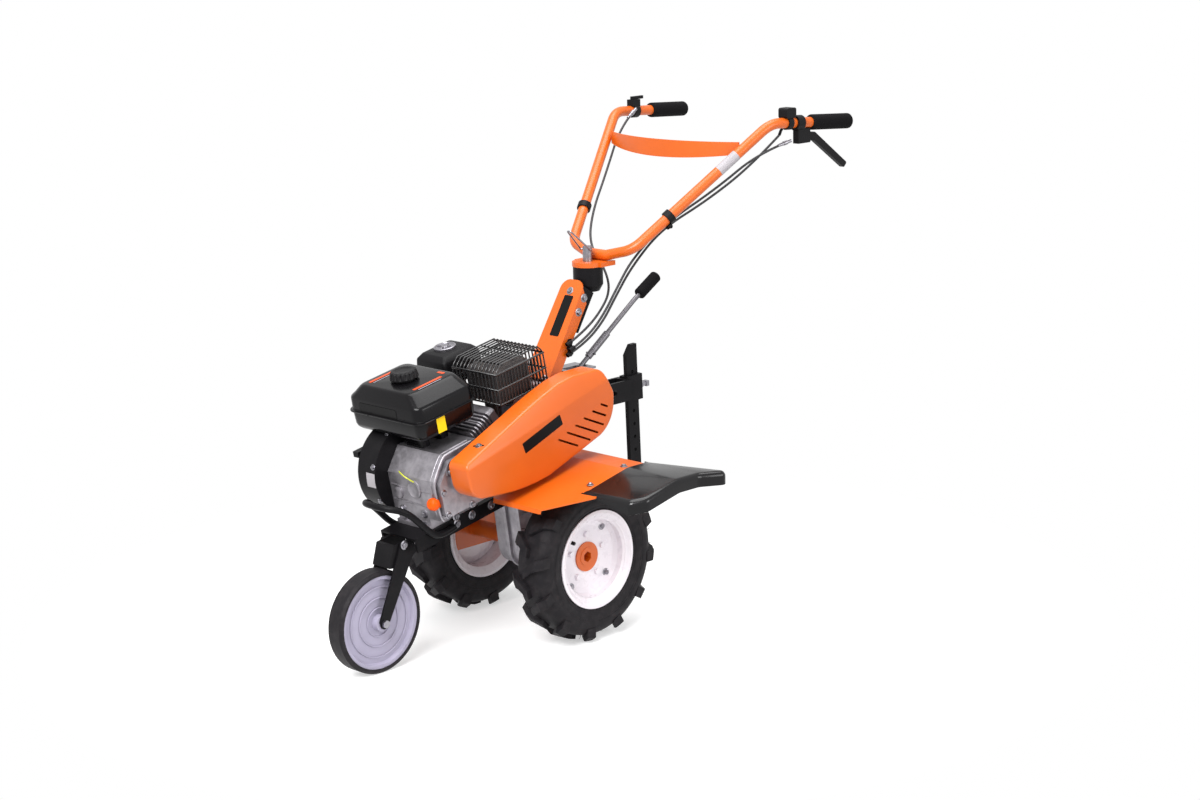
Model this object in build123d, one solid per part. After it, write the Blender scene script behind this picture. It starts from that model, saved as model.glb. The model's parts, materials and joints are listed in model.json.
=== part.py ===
from build123d import *
import os
from math import atan2, cos, degrees, radians, sin, tan

# Two-wheel walking tractor with a petrol engine, a front transport wheel, a hitch at the rear
# and a handlebar that swivels on its column. Millimetres, +X forward, +Y left, +Z up.
# Pieces are modelled about the point of the floor under the middle of the drive axle,
# and each is shifted forward at the end, so that the origin lies under the middle of the machine.

os.makedirs("parts", exist_ok=True)

# Stance
track = 391.0
wheelbase = 494.0
to_middle = 141.0

# Fits and gaps
running_gap = 0.1
seat_gap = 0.3
sheet = 3.0

# Drive wheels
tyre_radius = 202.0
tyre_width = 102.0
lug_height = 14.0
lugs_per_side = 12
lug_width = 22.0
rim_flange_radius = 120.0
rim_seat_radius = 101.0
rim_width = 92.0
rim_wall = 3.0
dish_radius = 82.0
disc_outboard = 2.5
wheel_bolt_circle = 110.0
wheel_bolt_count = 5
wheel_bolt_radius = 7.5
wheel_bolt_head = 7.0
hub_face_radius = 36.0
hub_face_thickness = 4.0
hub_tube_radius = 21.0
hub_plate_length = 150.0
hub_plate_width = 96.0
hub_plate_thickness = 6.0
hex_socket = 23.0
axle_radius = 19.0

# Gearbox
gearbox_half_width = 44.0
gearbox_foot_radius = 58.0
gearbox_top = 602.0
gearbox_rear = -206.0
gearbox_front = 84.0
axle_boss_radius = 40.0
axle_boss_half_width = 62.0
case_rib = 7.0

# Front wheel and its fork
front_wheel_radius = 122.0
front_tyre_width = 50.0
front_tyre_thickness = 11.0
front_disc_width = 42.0
front_hub_radius = 19.0
front_bolt_radius = 6.0
fork_plate = 5.0
fork_gap = 62.0
fork_top_front = (424.0, 295.0)
fork_top_rear = (385.0, 299.0)
bracket_front_top = (448.0, 316.0)
bracket_front_foot = (468.0, 246.0)

# Engine rails, sloping down to the front
nose_down = 11.0
rail_top_at = (172.0, 357.0)
rail_depth = 34.0
rail_flange = 36.0
rail_sheet = 5.0
rail_half_span = 62.0
rail_rear = 96.0
rail_web_rear = 40.0
rail_bolt_x = 60.0
rail_boss_radius = 14.0
rail_front = 418.0
bumper_tube_radius = 8.0

# Engine, in its own frame on the rails: x forward, z up from the rails, crankshaft along y
crank_x = 288.0
crank_height = 106.0
crank_shaft_radius = 9.5
case_front = 70.0
case_rear = 88.0
case_foot_height = 27.0
case_foot_half = 56.0
case_foot_rear = 70.0
case_right = -66.0
case_left = 92.0
case_height = 176.0
cover_thickness = 16.0
fan_radius = 111.0
fan_depth = 62.0
starter_radius = 92.0
starter_depth = 34.0
cylinder_lean = 25.0
fin_count = 9
fin_pitch = 10.0
fin_thickness = 3.6
fin_span = 128.0
fin_step = 12.0
barrel_radius = 44.0
fin_start = 4.0
head_thickness = 20.0
cylinder_y = 8.0
exhaust_pipe_radius = 15.0
tank_length = 182.0
tank_right = -186.0
tank_left = 80.0
tank_rear = -120.0
tank_seam_height = 262.0
tank_depth_above = 54.0
tank_depth_below = 50.0
tank_seam = 5.0
cap_radius = 33.0
cap_height = 24.0
cleaner_size = (112.0, 118.0, 80.0)
cleaner_at = (-212.0, -108.0, 244.0)
muffler_size = (116.0, 118.0, 78.0)
muffler_at = (-228.0, 40.0, 228.0)
guard_gap = 12.0
guard_bar = 4.0
guard_bars = 15

# Belt cover on the left of the engine and the gearbox
cover_outer = 180.0
cover_inner = 122.0
cover_wall = 2.0
cover_front = (392.0, 482.0)
cover_foot = (296.0, 381.0)
cover_rear_centre = (-52.0, 548.0)
cover_rear_radius = 92.0
cover_bevel = 42.0
slot_count = 6
slot_pitch = 21.0
slot_width = 5.0

# Wings over the wheels and their moulded end pieces
wing_notch_x = 140.0
wing_notch_y = 118.0
wing_fold_x = -30.0
wing_rear_x = -98.0
wing_height = 430.0
wing_front_x = 214.0
wing_front_height = 376.0
wing_front_half = 268.0
wing_outer = 350.0
flap_root = 302.0
flap_tip_y = 528.0
flap_tip_x = -130.0
flap_drop = 26.0
flap_wall = 4.0
flap_front_x = 112.0

# Column and its knuckle
column_foot = (-50.0, 612.0)
column_lean = 31.8
column_length = 252.0
column_width_top = 73.0
column_width_foot = 84.0
column_depth = 31.0
column_foot_below = 14.0
column_foot_plate = 4.0
swivel_x = -230.0
knuckle_radius = 37.0
knuckle_bottom = 793.0
knuckle_top = 854.0

# Handlebar
handle_tube_radius = 13.0
handle_wall = 2.0
base_plate_top = 866.0
handle_cross_x = -264.0
handle_low = (-283.0, 104.0, 897.0)
handle_high = (-612.0, 266.0, 1184.0)
handle_end = (-890.0, 283.0, 1167.0)
grip_radius = 19.5
grip_length = 143.0
stud_radius = 12.0
stud_top = 903.0
cross_plate_share = 0.80
cross_plate_height = 30.0

# Rear hitch and stake
stake_width = 38.0
stake_thickness = 12.0
stake_top = (-372.0, 634.0)
stake_length = 520.0
stake_lean = 1.9
stake_hole_radius = 4.5
stake_hole_pitch = 34.0
stake_hole_count = 9
hitch_top = 556.0
hitch_bottom = 490.0
hitch_wall = 8.0

# Gear lever
lever_base = (-186.0, 6.0, 606.0)
lever_grip_start = (-360.0, 30.0, 753.0)
lever_grip_end = (-438.0, 30.0, 800.0)
lever_radius = 6.0
lever_sleeve_radius = 9.0
lever_grip_radius = 15.0
lever_grip_length = 70.0

# Cables
cable_radius = 3.0

axle_height = tyre_radius
front_axle = (wheelbase, front_wheel_radius)


def slab(x0, x1, y0, y1, z0, z1):
    """A box between two corners."""
    return Pos((x0 + x1) / 2, (y0 + y1) / 2, (z0 + z1) / 2) * Box(x1 - x0, y1 - y0, z1 - z0)


def rod(start, end, radius):
    """A round bar from one point to another."""
    line = Vector(*end) - Vector(*start)
    return Plane(origin=start, z_dir=line) * Cylinder(
        radius, line.length, align=(Align.CENTER, Align.CENTER, Align.MIN)
    )


def side_plate(points, y0, y1, rounding=None):
    """A plate whose outline is drawn in the side view, as (x, z) points, between y0 and y1."""
    if rounding is None:
        edge = Polyline(*points, close=True)
    else:
        edge = FilletPolyline(*points, radius=rounding, close=True)
    view = Plane(origin=(0, y0, 0), x_dir=(1, 0, 0), z_dir=(0, -1, 0))
    return view * extrude(make_face(edge), amount=y0 - y1)


def bent_tube(points, radii, radius):
    """A round tube or bar that follows straight runs joined by tangent arcs."""
    path = FilletPolyline(*points, radius=radii)
    section = Plane(origin=path @ 0, z_dir=path % 0) * Circle(radius)
    return sweep(section, path=path)


def revolved_y(points):
    """A ring or disc turned about the Y axis from its (radius, y) profile."""
    return revolve(make_face(Polyline(*points, close=True)), Axis.Y)


def both_sides(part):
    """The left piece and its mirror image on the right, in one node."""
    return Compound(children=[part, mirror(part, Plane.XZ)])


# Drive wheels


def lug_print(reach):
    """A lug's footprint on the tread, pointing forward at the crown; reach is the half tread."""
    half = lug_width / 2
    return [
        (half, -4.0),
        (-half, -4.0),
        (-half - 26.0, reach * 0.55),
        (-half - 34.0, reach + 4.0),
        (half - 30.0, reach + 4.0),
        (half - 22.0, reach * 0.50),
    ]


def drive_tyre():
    """A lug tyre about its own centre: a round carcass and two staggered rows of lugs."""
    half = tyre_width / 2
    crown = tyre_radius - lug_height
    bead = rim_seat_radius + seat_gap
    lip = rim_flange_radius + seat_gap
    carcass = make_face(
        Polyline(
            (bead, -rim_width / 2 + 7.0),
            (bead, rim_width / 2 - 7.0),
        )
        + Line((bead, rim_width / 2 - 7.0), (lip, rim_width / 2 - rim_wall - 1.0))
        + ThreePointArc((lip, rim_width / 2 - rim_wall - 1.0), (lip + 14.0, half - 2.5), (150.0, half - 1.0))
        + ThreePointArc((150.0, half - 1.0), (crown - 9.0, half - 9.0), (crown, half - 26.0))
        + ThreePointArc((crown, half - 26.0), (crown + 1.5, 0.0), (crown, 26.0 - half))
        + ThreePointArc((crown, 26.0 - half), (crown - 9.0, 9.0 - half), (150.0, 1.0 - half))
        + ThreePointArc((150.0, 1.0 - half), (lip + 14.0, 2.5 - half), (lip, rim_wall + 1.0 - rim_width / 2))
        + Line((lip, rim_wall + 1.0 - rim_width / 2), (bead, 7.0 - rim_width / 2))
    )
    body = revolve(carcass, Axis.Y)
    envelope = revolved_y(
        [
            (150.0, -half),
            (tyre_radius - 12.0, -half),
            (tyre_radius, -half + 18.0),
            (tyre_radius, half - 18.0),
            (tyre_radius - 12.0, half),
            (150.0, half),
        ]
    )
    bar = extrude(make_face(Polyline(*lug_print(half), close=True)), amount=tyre_radius + 8.0)
    bar = bar - slab(-90, 90, -90, 90, 0, 164.0)
    left_lug = bar & envelope
    right_lug = mirror(left_lug, Plane.XZ)
    pitch = 360.0 / lugs_per_side
    lugs = []
    for turn in range(lugs_per_side):
        lugs.append(Rot(0, turn * pitch, 0) * left_lug)
        lugs.append(Rot(0, (turn + 0.5) * pitch, 0) * right_lug)
    return body + lugs


def drive_rim():
    """A dished steel rim, seen from outboard (+Y), with its disc, its bolts and its valve."""
    half = rim_width / 2
    seat = rim_seat_radius
    disc = disc_outboard
    profile = [
        (rim_flange_radius, half - rim_wall),
        (rim_flange_radius, half),
        (rim_flange_radius - 7.0, half),
        (seat - rim_wall - 2.0, half - 12.0),
        (seat - rim_wall - 2.0, disc + 16.0),
        (dish_radius + 6.0, disc + 6.0),
        (dish_radius - 6.0, disc + 2.5),
        (hex_socket, disc + 2.5),
        (hex_socket, disc),
        (dish_radius - 5.0, disc),
        (dish_radius + 8.0, disc + 3.0),
        (seat - rim_wall - 2.0, disc + 8.0),
        (seat - rim_wall - 2.0, -half + 10.0),
        (rim_flange_radius - 7.0, -half),
        (rim_flange_radius, -half),
        (rim_flange_radius, -half + rim_wall),
        (seat, -half + 7.0),
        (seat, half - 7.0),
    ]
    return revolved_y(profile)


def wheel_hub():
    """A hub for the left wheel: face disc with its hex socket, tube and bolted plate."""
    inner = disc_outboard - seat_gap
    face = Pos(0, disc_outboard + 2.5 + seat_gap, 0) * upright_disc(hub_face_radius, hub_face_thickness)
    neck = upright_disc(hex_socket - seat_gap, hub_face_thickness + 8.0)
    neck = Pos(0, disc_outboard - 4.0, 0) * neck
    tube_length = track / 2 - axle_boss_half_width - 2.0 + inner
    tube = Pos(0, inner - tube_length, 0) * upright_disc(hub_tube_radius, tube_length)
    plate = side_plate(
        [
            (-hub_plate_length / 2, -hub_plate_width / 2),
            (hub_plate_length / 2, -hub_plate_width / 2),
            (hub_plate_length / 2, hub_plate_width / 2),
            (-hub_plate_length / 2, hub_plate_width / 2),
        ],
        inner - hub_plate_thickness,
        inner,
        rounding=14.0,
    )
    socket = Plane(origin=(0, 20, 0), z_dir=(0, 1, 0)) * extrude(
        RegularPolygon(hex_socket / 2, 6, major_radius=False), amount=-32
    )
    return face + neck + tube + plate - socket


def upright_disc(radius, thickness):
    """A disc that stands in the side view, from y = 0 towards +Y."""
    return Plane(origin=(0, 0, 0), z_dir=(0, 1, 0)) * Cylinder(
        radius, thickness, align=(Align.CENTER, Align.CENTER, Align.MIN)
    )


def bolt_head(radius, height):
    """A hex head that looks towards +Y."""
    hexagon = RegularPolygon(radius, 6)
    return Plane(origin=(0, 0, 0), z_dir=(0, 1, 0)) * extrude(hexagon, amount=height)


def wheel_bolts():
    """The bolts of the left wheel's disc, with their heads outboard."""
    heads = []
    radius = wheel_bolt_circle / 2
    outboard = disc_outboard + 2.5
    for number in range(wheel_bolt_count):
        turn = radians(90.0 + number * 360.0 / wheel_bolt_count)
        at = Pos(radius * cos(turn), outboard, radius * sin(turn))
        heads.append(at * bolt_head(wheel_bolt_radius, wheel_bolt_head))
    return heads


def drive_wheel_nodes():
    """Tyres, rims and the hubs on their axle."""
    left = Pos(0, track / 2, axle_height)
    tyre = left * drive_tyre()
    rim = left * (drive_rim() + wheel_bolts())
    hub = left * wheel_hub()
    shaft_length = 2 * axle_boss_half_width
    shaft = Pos(0, -shaft_length / 2, axle_height) * upright_disc(axle_radius, shaft_length)
    reach = track / 2 - 14.0
    shaft = shaft + Pos(0, -reach, axle_height) * upright_disc(hex_socket / 2 - 1.0, 2 * reach)
    return {
        "tyre_left": tyre,
        "tyre_right": mirror(tyre, Plane.XZ),
        "rim_left": rim,
        "rim_right": mirror(rim, Plane.XZ),
        "wheel_axle": shaft + hub + mirror(hub, Plane.XZ),
    }


# Gearbox, hitch and stake


def gearbox_outline(grow):
    """The gear case in the side view: round foot about the axle, long upper case to the rear."""
    return [
        (gearbox_foot_radius + grow, axle_height),
        (gearbox_front + grow, 400.0),
        (gearbox_front + grow, gearbox_top - 40.0),
        (gearbox_front - 30.0, gearbox_top + grow / 2),
        (gearbox_rear + 14.0, gearbox_top + grow / 2),
        (gearbox_rear - grow, gearbox_top - 30.0),
        (gearbox_rear - grow, 470.0),
        (-96.0 - grow, 400.0),
        (-gearbox_foot_radius - grow, axle_height),
    ]


def gearbox():
    """Two cast halves with a flange along their joint, bosses for the axle and stiffening ribs."""
    half = gearbox_half_width
    foot = Pos(0, -half, axle_height) * upright_disc(gearbox_foot_radius, 2 * half)
    case = side_plate(gearbox_outline(0), -half, half)
    flange = side_plate(gearbox_outline(case_rib), -5.0, 5.0)
    flange_foot = Pos(0, -5.0, axle_height) * upright_disc(gearbox_foot_radius + case_rib, 10.0)
    boss = Pos(0, -axle_boss_half_width, axle_height) * upright_disc(
        axle_boss_radius, 2 * axle_boss_half_width
    )
    shaft_boss = Pos(-20, -half - 14.0, 500) * upright_disc(46.0, 2 * half + 28.0)
    ribs = [
        slab(-60, 60, -half - 5.0, half + 5.0, height - 3.0, height + 3.0)
        for height in (290.0, 330.0, 370.0)
    ]
    bore = Pos(0, -axle_boss_half_width - 1, axle_height) * upright_disc(
        axle_radius + running_gap, 2 * axle_boss_half_width + 2
    )
    mount_half = rail_half_span - rail_sheet - seat_gap
    mount = Pos(rail_bolt_x, -mount_half, on_rails(rail_bolt_x) - rail_depth / 2)
    mount_boss = mount * upright_disc(rail_boss_radius, 2 * mount_half)
    return case + foot + flange + flange_foot + boss + shaft_boss + mount_boss + ribs - bore


def gear_plate():
    """The selector's guide plate on top of the gear case."""
    top = gearbox_top + case_rib / 2 + seat_gap
    plate = slab(-210.0, -118.0, -34.0, 40.0, top, top + 5.0)
    guide = slab(-205.0, -132.0, -4.0, 18.0, top - 1, top + 6.0)
    return plate - guide


def gear_lever():
    """Bent steel selector rod with its thicker sleeve and a cross pin."""
    start = Vector(*lever_base)
    along = (Vector(*lever_grip_start) - start).normalized()
    shaft = bent_tube([lever_base, lever_grip_start, lever_grip_end], [60.0], lever_radius)
    sleeve = rod(tuple(start + along * 36.0), tuple(start + along * 116.0), lever_sleeve_radius)
    pin_at = start + along * 48.0
    pin = rod(tuple(pin_at - Vector(0, 15, 0)), tuple(pin_at + Vector(0, 15, 0)), 2.5)
    keep = slab(-600, 0, -200, 200, gearbox_top + case_rib / 2 + seat_gap, 1200)
    return (shaft + sleeve + pin) & keep


def gear_lever_grip():
    """Foam grip on the selector rod."""
    end = Vector(*lever_grip_end)
    along = (end - Vector(*lever_grip_start)).normalized()
    start = end - along * lever_grip_length
    skin = rod(tuple(start), tuple(end + along * 6.0), lever_grip_radius)
    core = rod(tuple(start - along), tuple(end + along * seat_gap), lever_radius + seat_gap)
    return fillet(skin.edges(), 5.0) - core


def stake_frame():
    """The plane of the stake's own axes: x across its width, z along it, at its top."""
    lean = radians(stake_lean)
    return Plane(
        origin=(stake_top[0], 0, stake_top[1]),
        x_dir=(cos(lean), 0, -sin(lean)),
        z_dir=(sin(lean), 0, cos(lean)),
    )


def stake_blank(clearance, top, bottom):
    """The stake's section grown by a clearance, between two heights along it."""
    width = stake_width / 2 + clearance
    thick = stake_thickness / 2 + clearance
    return slab(-width, width, -thick, thick, bottom, top)


def depth_stake():
    """Flat steel drag stake with a cut top corner, a pointed foot and a row of holes."""
    bar = stake_blank(0, 0, -stake_length)
    corner = side_plate([(stake_width / 2 + 1, 1.0), (0.0, 1.0), (stake_width / 2 + 1, -26.0)], -10, 10)
    half = stake_width / 2 + 1
    low = -stake_length
    foot = side_plate([(-half, low - 1), (-half, low + 44), (half - 6, low - 1)], -10, 10)
    holes = []
    for number in range(stake_hole_count):
        depth = 70.0 + number * stake_hole_pitch
        holes.append(Pos(0, -10, -depth) * upright_disc(stake_hole_radius, 20.0))
    return stake_frame() * (bar - corner - foot - holes)


def hitch_bracket():
    """Box socket for the stake, welded to a drawbar that is bolted behind the gear case."""
    depth_top = stake_top[1] - hitch_top
    depth_low = stake_top[1] - hitch_bottom
    outer_x = stake_width / 2 + hitch_wall
    outer_y = stake_thickness / 2 + hitch_wall
    box = stake_frame() * slab(-outer_x, outer_x, -outer_y, outer_y, -depth_low, -depth_top)
    rear = gearbox_rear - case_rib - seat_gap
    bar = slab(stake_top[0] + 18.0, rear, -24.0, 24.0, hitch_bottom + 6.0, hitch_top - 6.0)
    bar = bar - slab(stake_top[0] + 34.0, rear - 10.0, -18.0, 18.0, hitch_bottom, hitch_top)
    slot = stake_frame() * stake_blank(seat_gap, 10.0, -stake_length)
    screw_hole = clamp_screw_axis() * Pos(0, 0, -20) * Cylinder(6.0 + seat_gap, 80)
    pin_hole = Pos(stake_top[0] + 80.0, -40.0, (hitch_top + hitch_bottom) / 2) * upright_disc(8.0, 80.0)
    return box + bar - slot - screw_hole - pin_hole


def clamp_screw_axis():
    """The axis of the stake's clamp screw, pointing to the rear from the stake's rear edge."""
    middle = (hitch_top + hitch_bottom) / 2
    along = (middle - stake_top[1]) / cos(radians(stake_lean))
    lean = radians(stake_lean)
    x = stake_top[0] - stake_width / 2 * cos(lean) + along * sin(lean)
    return Plane(origin=(x - seat_gap, 0, middle), z_dir=(-cos(lean), 0, sin(lean)))


def stake_clamp_screw():
    """Square-headed clamp screw that bears on the stake's rear edge."""
    shank = Cylinder(6.0, 34.0, align=(Align.CENTER, Align.CENTER, Align.MIN))
    nut = Pos(0, 0, hitch_wall + seat_gap) * extrude(RegularPolygon(10.0, 6), amount=8.0)
    head = Pos(0, 0, 30.0) * extrude(Rectangle(14.0, 14.0), amount=10.0)
    return clamp_screw_axis() * (shank + nut + head)


# Column and knuckle


def column_plane():
    """The column's front web: x across (left), y up the column, z forward and out of the web."""
    lean = radians(column_lean)
    return Plane(
        origin=(column_foot[0], 0, column_foot[1]),
        x_dir=(0, 1, 0),
        z_dir=(cos(lean), 0, sin(lean)),
    )


def column_solid(clearance):
    """The column's outer form without its hollow, grown by a clearance across."""
    foot = column_width_foot / 2 + clearance
    top = column_width_top / 2 + clearance
    low = -column_foot_below
    outline = Polyline((-foot, low), (foot, low), (top, column_length), (-top, column_length), close=True)
    return column_plane() * extrude(make_face(outline), amount=-column_depth - clearance)


def column():
    """Folded sheet channel that leans back, with a rounded top and cheeks cut away to the rear."""
    foot = column_width_foot / 2
    top = column_width_top / 2
    length = column_length
    low = -column_foot_below
    web_outline = [(-foot, low), (foot, low), (top, length), (-top, length)]
    web = make_face(FilletPolyline(*web_outline, radius=[2.0, 2.0, 26.0, 26.0], close=True))
    shell = extrude(web, amount=-column_depth)
    inner_outline = [
        (-foot + sheet, low - 5),
        (foot - sheet, low - 5),
        (top - sheet, length + 40),
        (sheet - top, length + 40),
    ]
    hollow = extrude(make_face(Polyline(*inner_outline, close=True)), amount=-column_depth - 2)
    shell = shell - Pos(0, 0, -sheet) * hollow
    cheek_cut = Polyline(
        (length - 52, -column_depth - 5),
        (length + 10, -column_depth - 5),
        (length + 10, -sheet),
        (length - 18, -sheet),
        close=True,
    )
    relief = extrude(Plane.YZ * make_face(cheek_cut), amount=80, both=True)
    seat = gearbox_top + case_rib / 2 + seat_gap
    floor = slab(-300, 200, -200, 200, 0, seat)
    half = column_width_foot / 2 + 6.0
    x = column_foot[0]
    foot_plate = slab(x - 62.0, x + 24.0, -half, half, seat, seat + column_foot_plate)
    return (column_plane() * (shell - relief) - floor) + foot_plate


def column_knuckle():
    """Cast swivel head on the column's top, with its shank between the cheeks."""
    head = Pos(swivel_x, 0, knuckle_bottom + 16.0) * Cylinder(
        knuckle_radius, knuckle_top - knuckle_bottom - 16.0, align=(Align.CENTER, Align.CENTER, Align.MIN)
    )
    skirt = Pos(swivel_x, 0, knuckle_bottom) * Cone(
        knuckle_radius - 9.0, knuckle_radius, 16.0, align=(Align.CENTER, Align.CENTER, Align.MIN)
    )
    half = column_width_top / 2 - sheet - seat_gap
    depth = column_depth + 14.0
    web = -sheet - seat_gap
    shank = column_plane() * slab(-half, half, column_length - 120.0, column_length - 12.0, -depth, web)
    bore = Pos(swivel_x, 0, knuckle_bottom - 60) * Cylinder(
        stud_radius - 3.0 + running_gap, 200, align=(Align.CENTER, Align.CENTER, Align.MIN)
    )
    trim = slab(-300, -100, -60, 60, knuckle_top, knuckle_top + 60)
    return head + skirt + shank - bore - trim


# Handlebar


def handle_points():
    """The handlebar tube's corners, from the left grip's end to the right one's."""
    low = base_plate_top + handle_tube_radius
    left = [
        handle_end,
        handle_high,
        handle_low,
        (handle_cross_x, 30.0, low),
    ]
    return left + [(x, -y, z) for x, y, z in reversed(left)]


def handlebar():
    """One bent tube in a V, welded on an oval base plate with its swivel stud."""
    radii = [70.0, 62.0, 20.0, 20.0, 62.0, 70.0]
    tube = bent_tube(handle_points(), radii, handle_tube_radius)
    under = knuckle_top + 0.5
    seat = Pos(swivel_x, 0, under) * Cylinder(
        knuckle_radius + 2.0, base_plate_top - under, align=(Align.CENTER, Align.CENTER, Align.MIN)
    )
    ear = slab(handle_cross_x - 16.0, swivel_x, -46.0, 46.0, under, base_plate_top)
    stud = Pos(swivel_x, 0, knuckle_bottom + 4.0) * Cylinder(
        stud_radius - 3.0, base_plate_top - knuckle_bottom, align=(Align.CENTER, Align.CENTER, Align.MIN)
    )
    return tube + seat + ear + stud


def swivel_nut():
    """Long nut on the swivel stud with its bent wire bail."""
    nut = Pos(swivel_x, 0, base_plate_top + seat_gap) * Cylinder(
        stud_radius, stud_top - base_plate_top, align=(Align.CENTER, Align.CENTER, Align.MIN)
    )
    bore = Pos(swivel_x, 0, base_plate_top - 2) * Cylinder(
        stud_radius - 3.0 + seat_gap, 14, align=(Align.CENTER, Align.CENTER, Align.MIN)
    )
    top = stud_top - 8.0
    bail = bent_tube(
        [
            (swivel_x, stud_radius - 2, top),
            (swivel_x + 6, stud_radius + 6, top),
            (swivel_x + 62, 6, top + 52),
            (swivel_x + 62, -6, top + 52),
            (swivel_x + 6, -stud_radius - 6, top),
            (swivel_x, 2 - stud_radius, top),
        ],
        [3.0, 5.0, 5.0, 3.0],
        2.2,
    )
    return nut - bore + bail


def along_handle(share, side):
    """A point on the long leg of the handlebar tube, from its low bend (0) to its high bend (1)."""
    low = Vector(*handle_low)
    high = Vector(*handle_high)
    at = low + (high - low) * share
    return Vector(at.X, at.Y * side, at.Z)


def cross_plate():
    """Curved sheet plate between the two legs of the handlebar, lower in its middle."""
    end = along_handle(cross_plate_share, 1)
    half = end.Y - handle_tube_radius - 2.0
    bow = 60.0
    thickness = 3.0
    plan = make_face(
        ThreePointArc((end.X, -half), (end.X + bow, 0), (end.X, half))
        + Line((end.X, half), (end.X - thickness, half))
        + ThreePointArc((end.X - thickness, half), (end.X + bow - thickness, 0), (end.X - thickness, -half))
        + Line((end.X - thickness, -half), (end.X, -half))
    )
    band = Pos(0, 0, end.Z - 60.0) * extrude(plan, amount=100.0)
    front = make_face(
        Line((-half - 5, end.Z + cross_plate_height / 2), (half + 5, end.Z + cross_plate_height / 2))
        + Line((half + 5, end.Z + cross_plate_height / 2), (half + 5, end.Z - cross_plate_height / 2))
        + ThreePointArc(
            (half + 5, end.Z - cross_plate_height / 2),
            (0, end.Z - cross_plate_height / 2 - 14.0),
            (-half - 5, end.Z - cross_plate_height / 2),
        )
        + Line((-half - 5, end.Z - cross_plate_height / 2), (-half - 5, end.Z + cross_plate_height / 2))
    )
    window = Plane(origin=(0, 0, 0), x_dir=(0, 1, 0), z_dir=(1, 0, 0)) * front
    return band & extrude(window, amount=-700)


def grips():
    """Foam grips on the two ends of the handlebar tube."""
    end = Vector(*handle_end)
    along = (end - Vector(*handle_high)).normalized()
    start = end - along * (grip_length - 6.0)
    skin = rod(tuple(start), tuple(end + along * 6.0), grip_radius)
    core = rod(tuple(start - along), tuple(end + along * seat_gap), handle_tube_radius + 0.2)
    return both_sides(fillet(skin.edges(), 6.0) - core)


def tube_clamp(share_point, along, width, radius, hole):
    """A ring clamped on the handlebar tube."""
    start = share_point - along * (width / 2)
    end = share_point + along * (width / 2)
    return rod(tuple(start), tuple(end), radius) - rod(tuple(start - along), tuple(end + along), hole)


def handle_grip_line():
    """Unit direction of the left grip's tube, to the rear, and its high bend."""
    high = Vector(*handle_high)
    return high, (Vector(*handle_end) - high).normalized()


def clutch_bracket():
    """Clamp and pivot housing of the clutch lever, under the left grip's tube."""
    high, along = handle_grip_line()
    at = high + along * 96.0
    ring = tube_clamp(at, along, 24.0, handle_tube_radius + 6.0, handle_tube_radius + 0.2)
    roof = at.Z - handle_tube_radius - 3.0
    body = slab(at.X - 40.0, at.X + 6.0, at.Y - 9.0, at.Y + 9.0, at.Z - 52.0, roof)
    return ring + body


def clutch_lever():
    """Bent clutch lever that hangs down and back from its bracket."""
    high, along = handle_grip_line()
    at = high + along * 96.0
    top = at.Z - 34.0
    pts = [
        (at.X - 34.0, top + 8.0),
        (at.X - 62.0, top + 6.0),
        (at.X - 190.0, top - 84.0),
        (at.X - 178.0, top - 96.0),
        (at.X - 60.0, top - 16.0),
        (at.X - 34.0, top - 14.0),
    ]
    return side_plate(pts, at.Y - 6.0, at.Y + 6.0, rounding=[3, 6, 4, 4, 6, 3]) - slab(
        at.X - 40.0 - seat_gap, at.X + 10.0, at.Y - 20.0, at.Y + 20.0, at.Z - 190.0, at.Z
    )


def switch_box():
    """Stop switch on top of the left grip's tube."""
    high, along = handle_grip_line()
    at = high + along * 60.0
    ring = tube_clamp(at, along, 16.0, handle_tube_radius + 4.0, handle_tube_radius + 0.2)
    box = slab(at.X - 18.0, at.X + 18.0, at.Y - 14.0, at.Y + 14.0, at.Z + 12.0, at.Z + 38.0)
    box = fillet(box.edges().filter_by(Axis.Y), 6.0)
    tube = rod(tuple(high), tuple(high + along * 200), handle_tube_radius + 0.2)
    return ring + box - tube


def throttle_lever():
    """Thumb throttle clamped on the right grip's tube."""
    high, along = handle_grip_line()
    at = high + along * 74.0
    right = Vector(at.X, -at.Y, at.Z)
    along = Vector(along.X, -along.Y, along.Z)
    ring = tube_clamp(right, along, 20.0, handle_tube_radius + 5.0, handle_tube_radius + 0.2)
    x, y, z = right
    base = slab(x - 14.0, x + 14.0, y - 10.0, y + 12.0, z + 12.0, z + 30.0)
    thumb = slab(x - 34.0, x + 8.0, y - 4.0, y + 4.0, z + 30.0, z + 38.0)
    tube = rod(tuple(right - along * 100), tuple(right + along * 100), handle_tube_radius + 0.2)
    return ring + base + thumb - tube


# Engine, in its own frame, and its place on the rails


def on_rails(x):
    """Height of the rails' top edge at a place along the machine."""
    return rail_top_at[1] - (x - rail_top_at[0]) * sin(radians(nose_down)) / cos(radians(nose_down))


def engine_place():
    """From the engine's own frame to the machine's."""
    return Pos(crank_x, 0, on_rails(crank_x) + seat_gap) * Rot(0, nose_down, 0)


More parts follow.
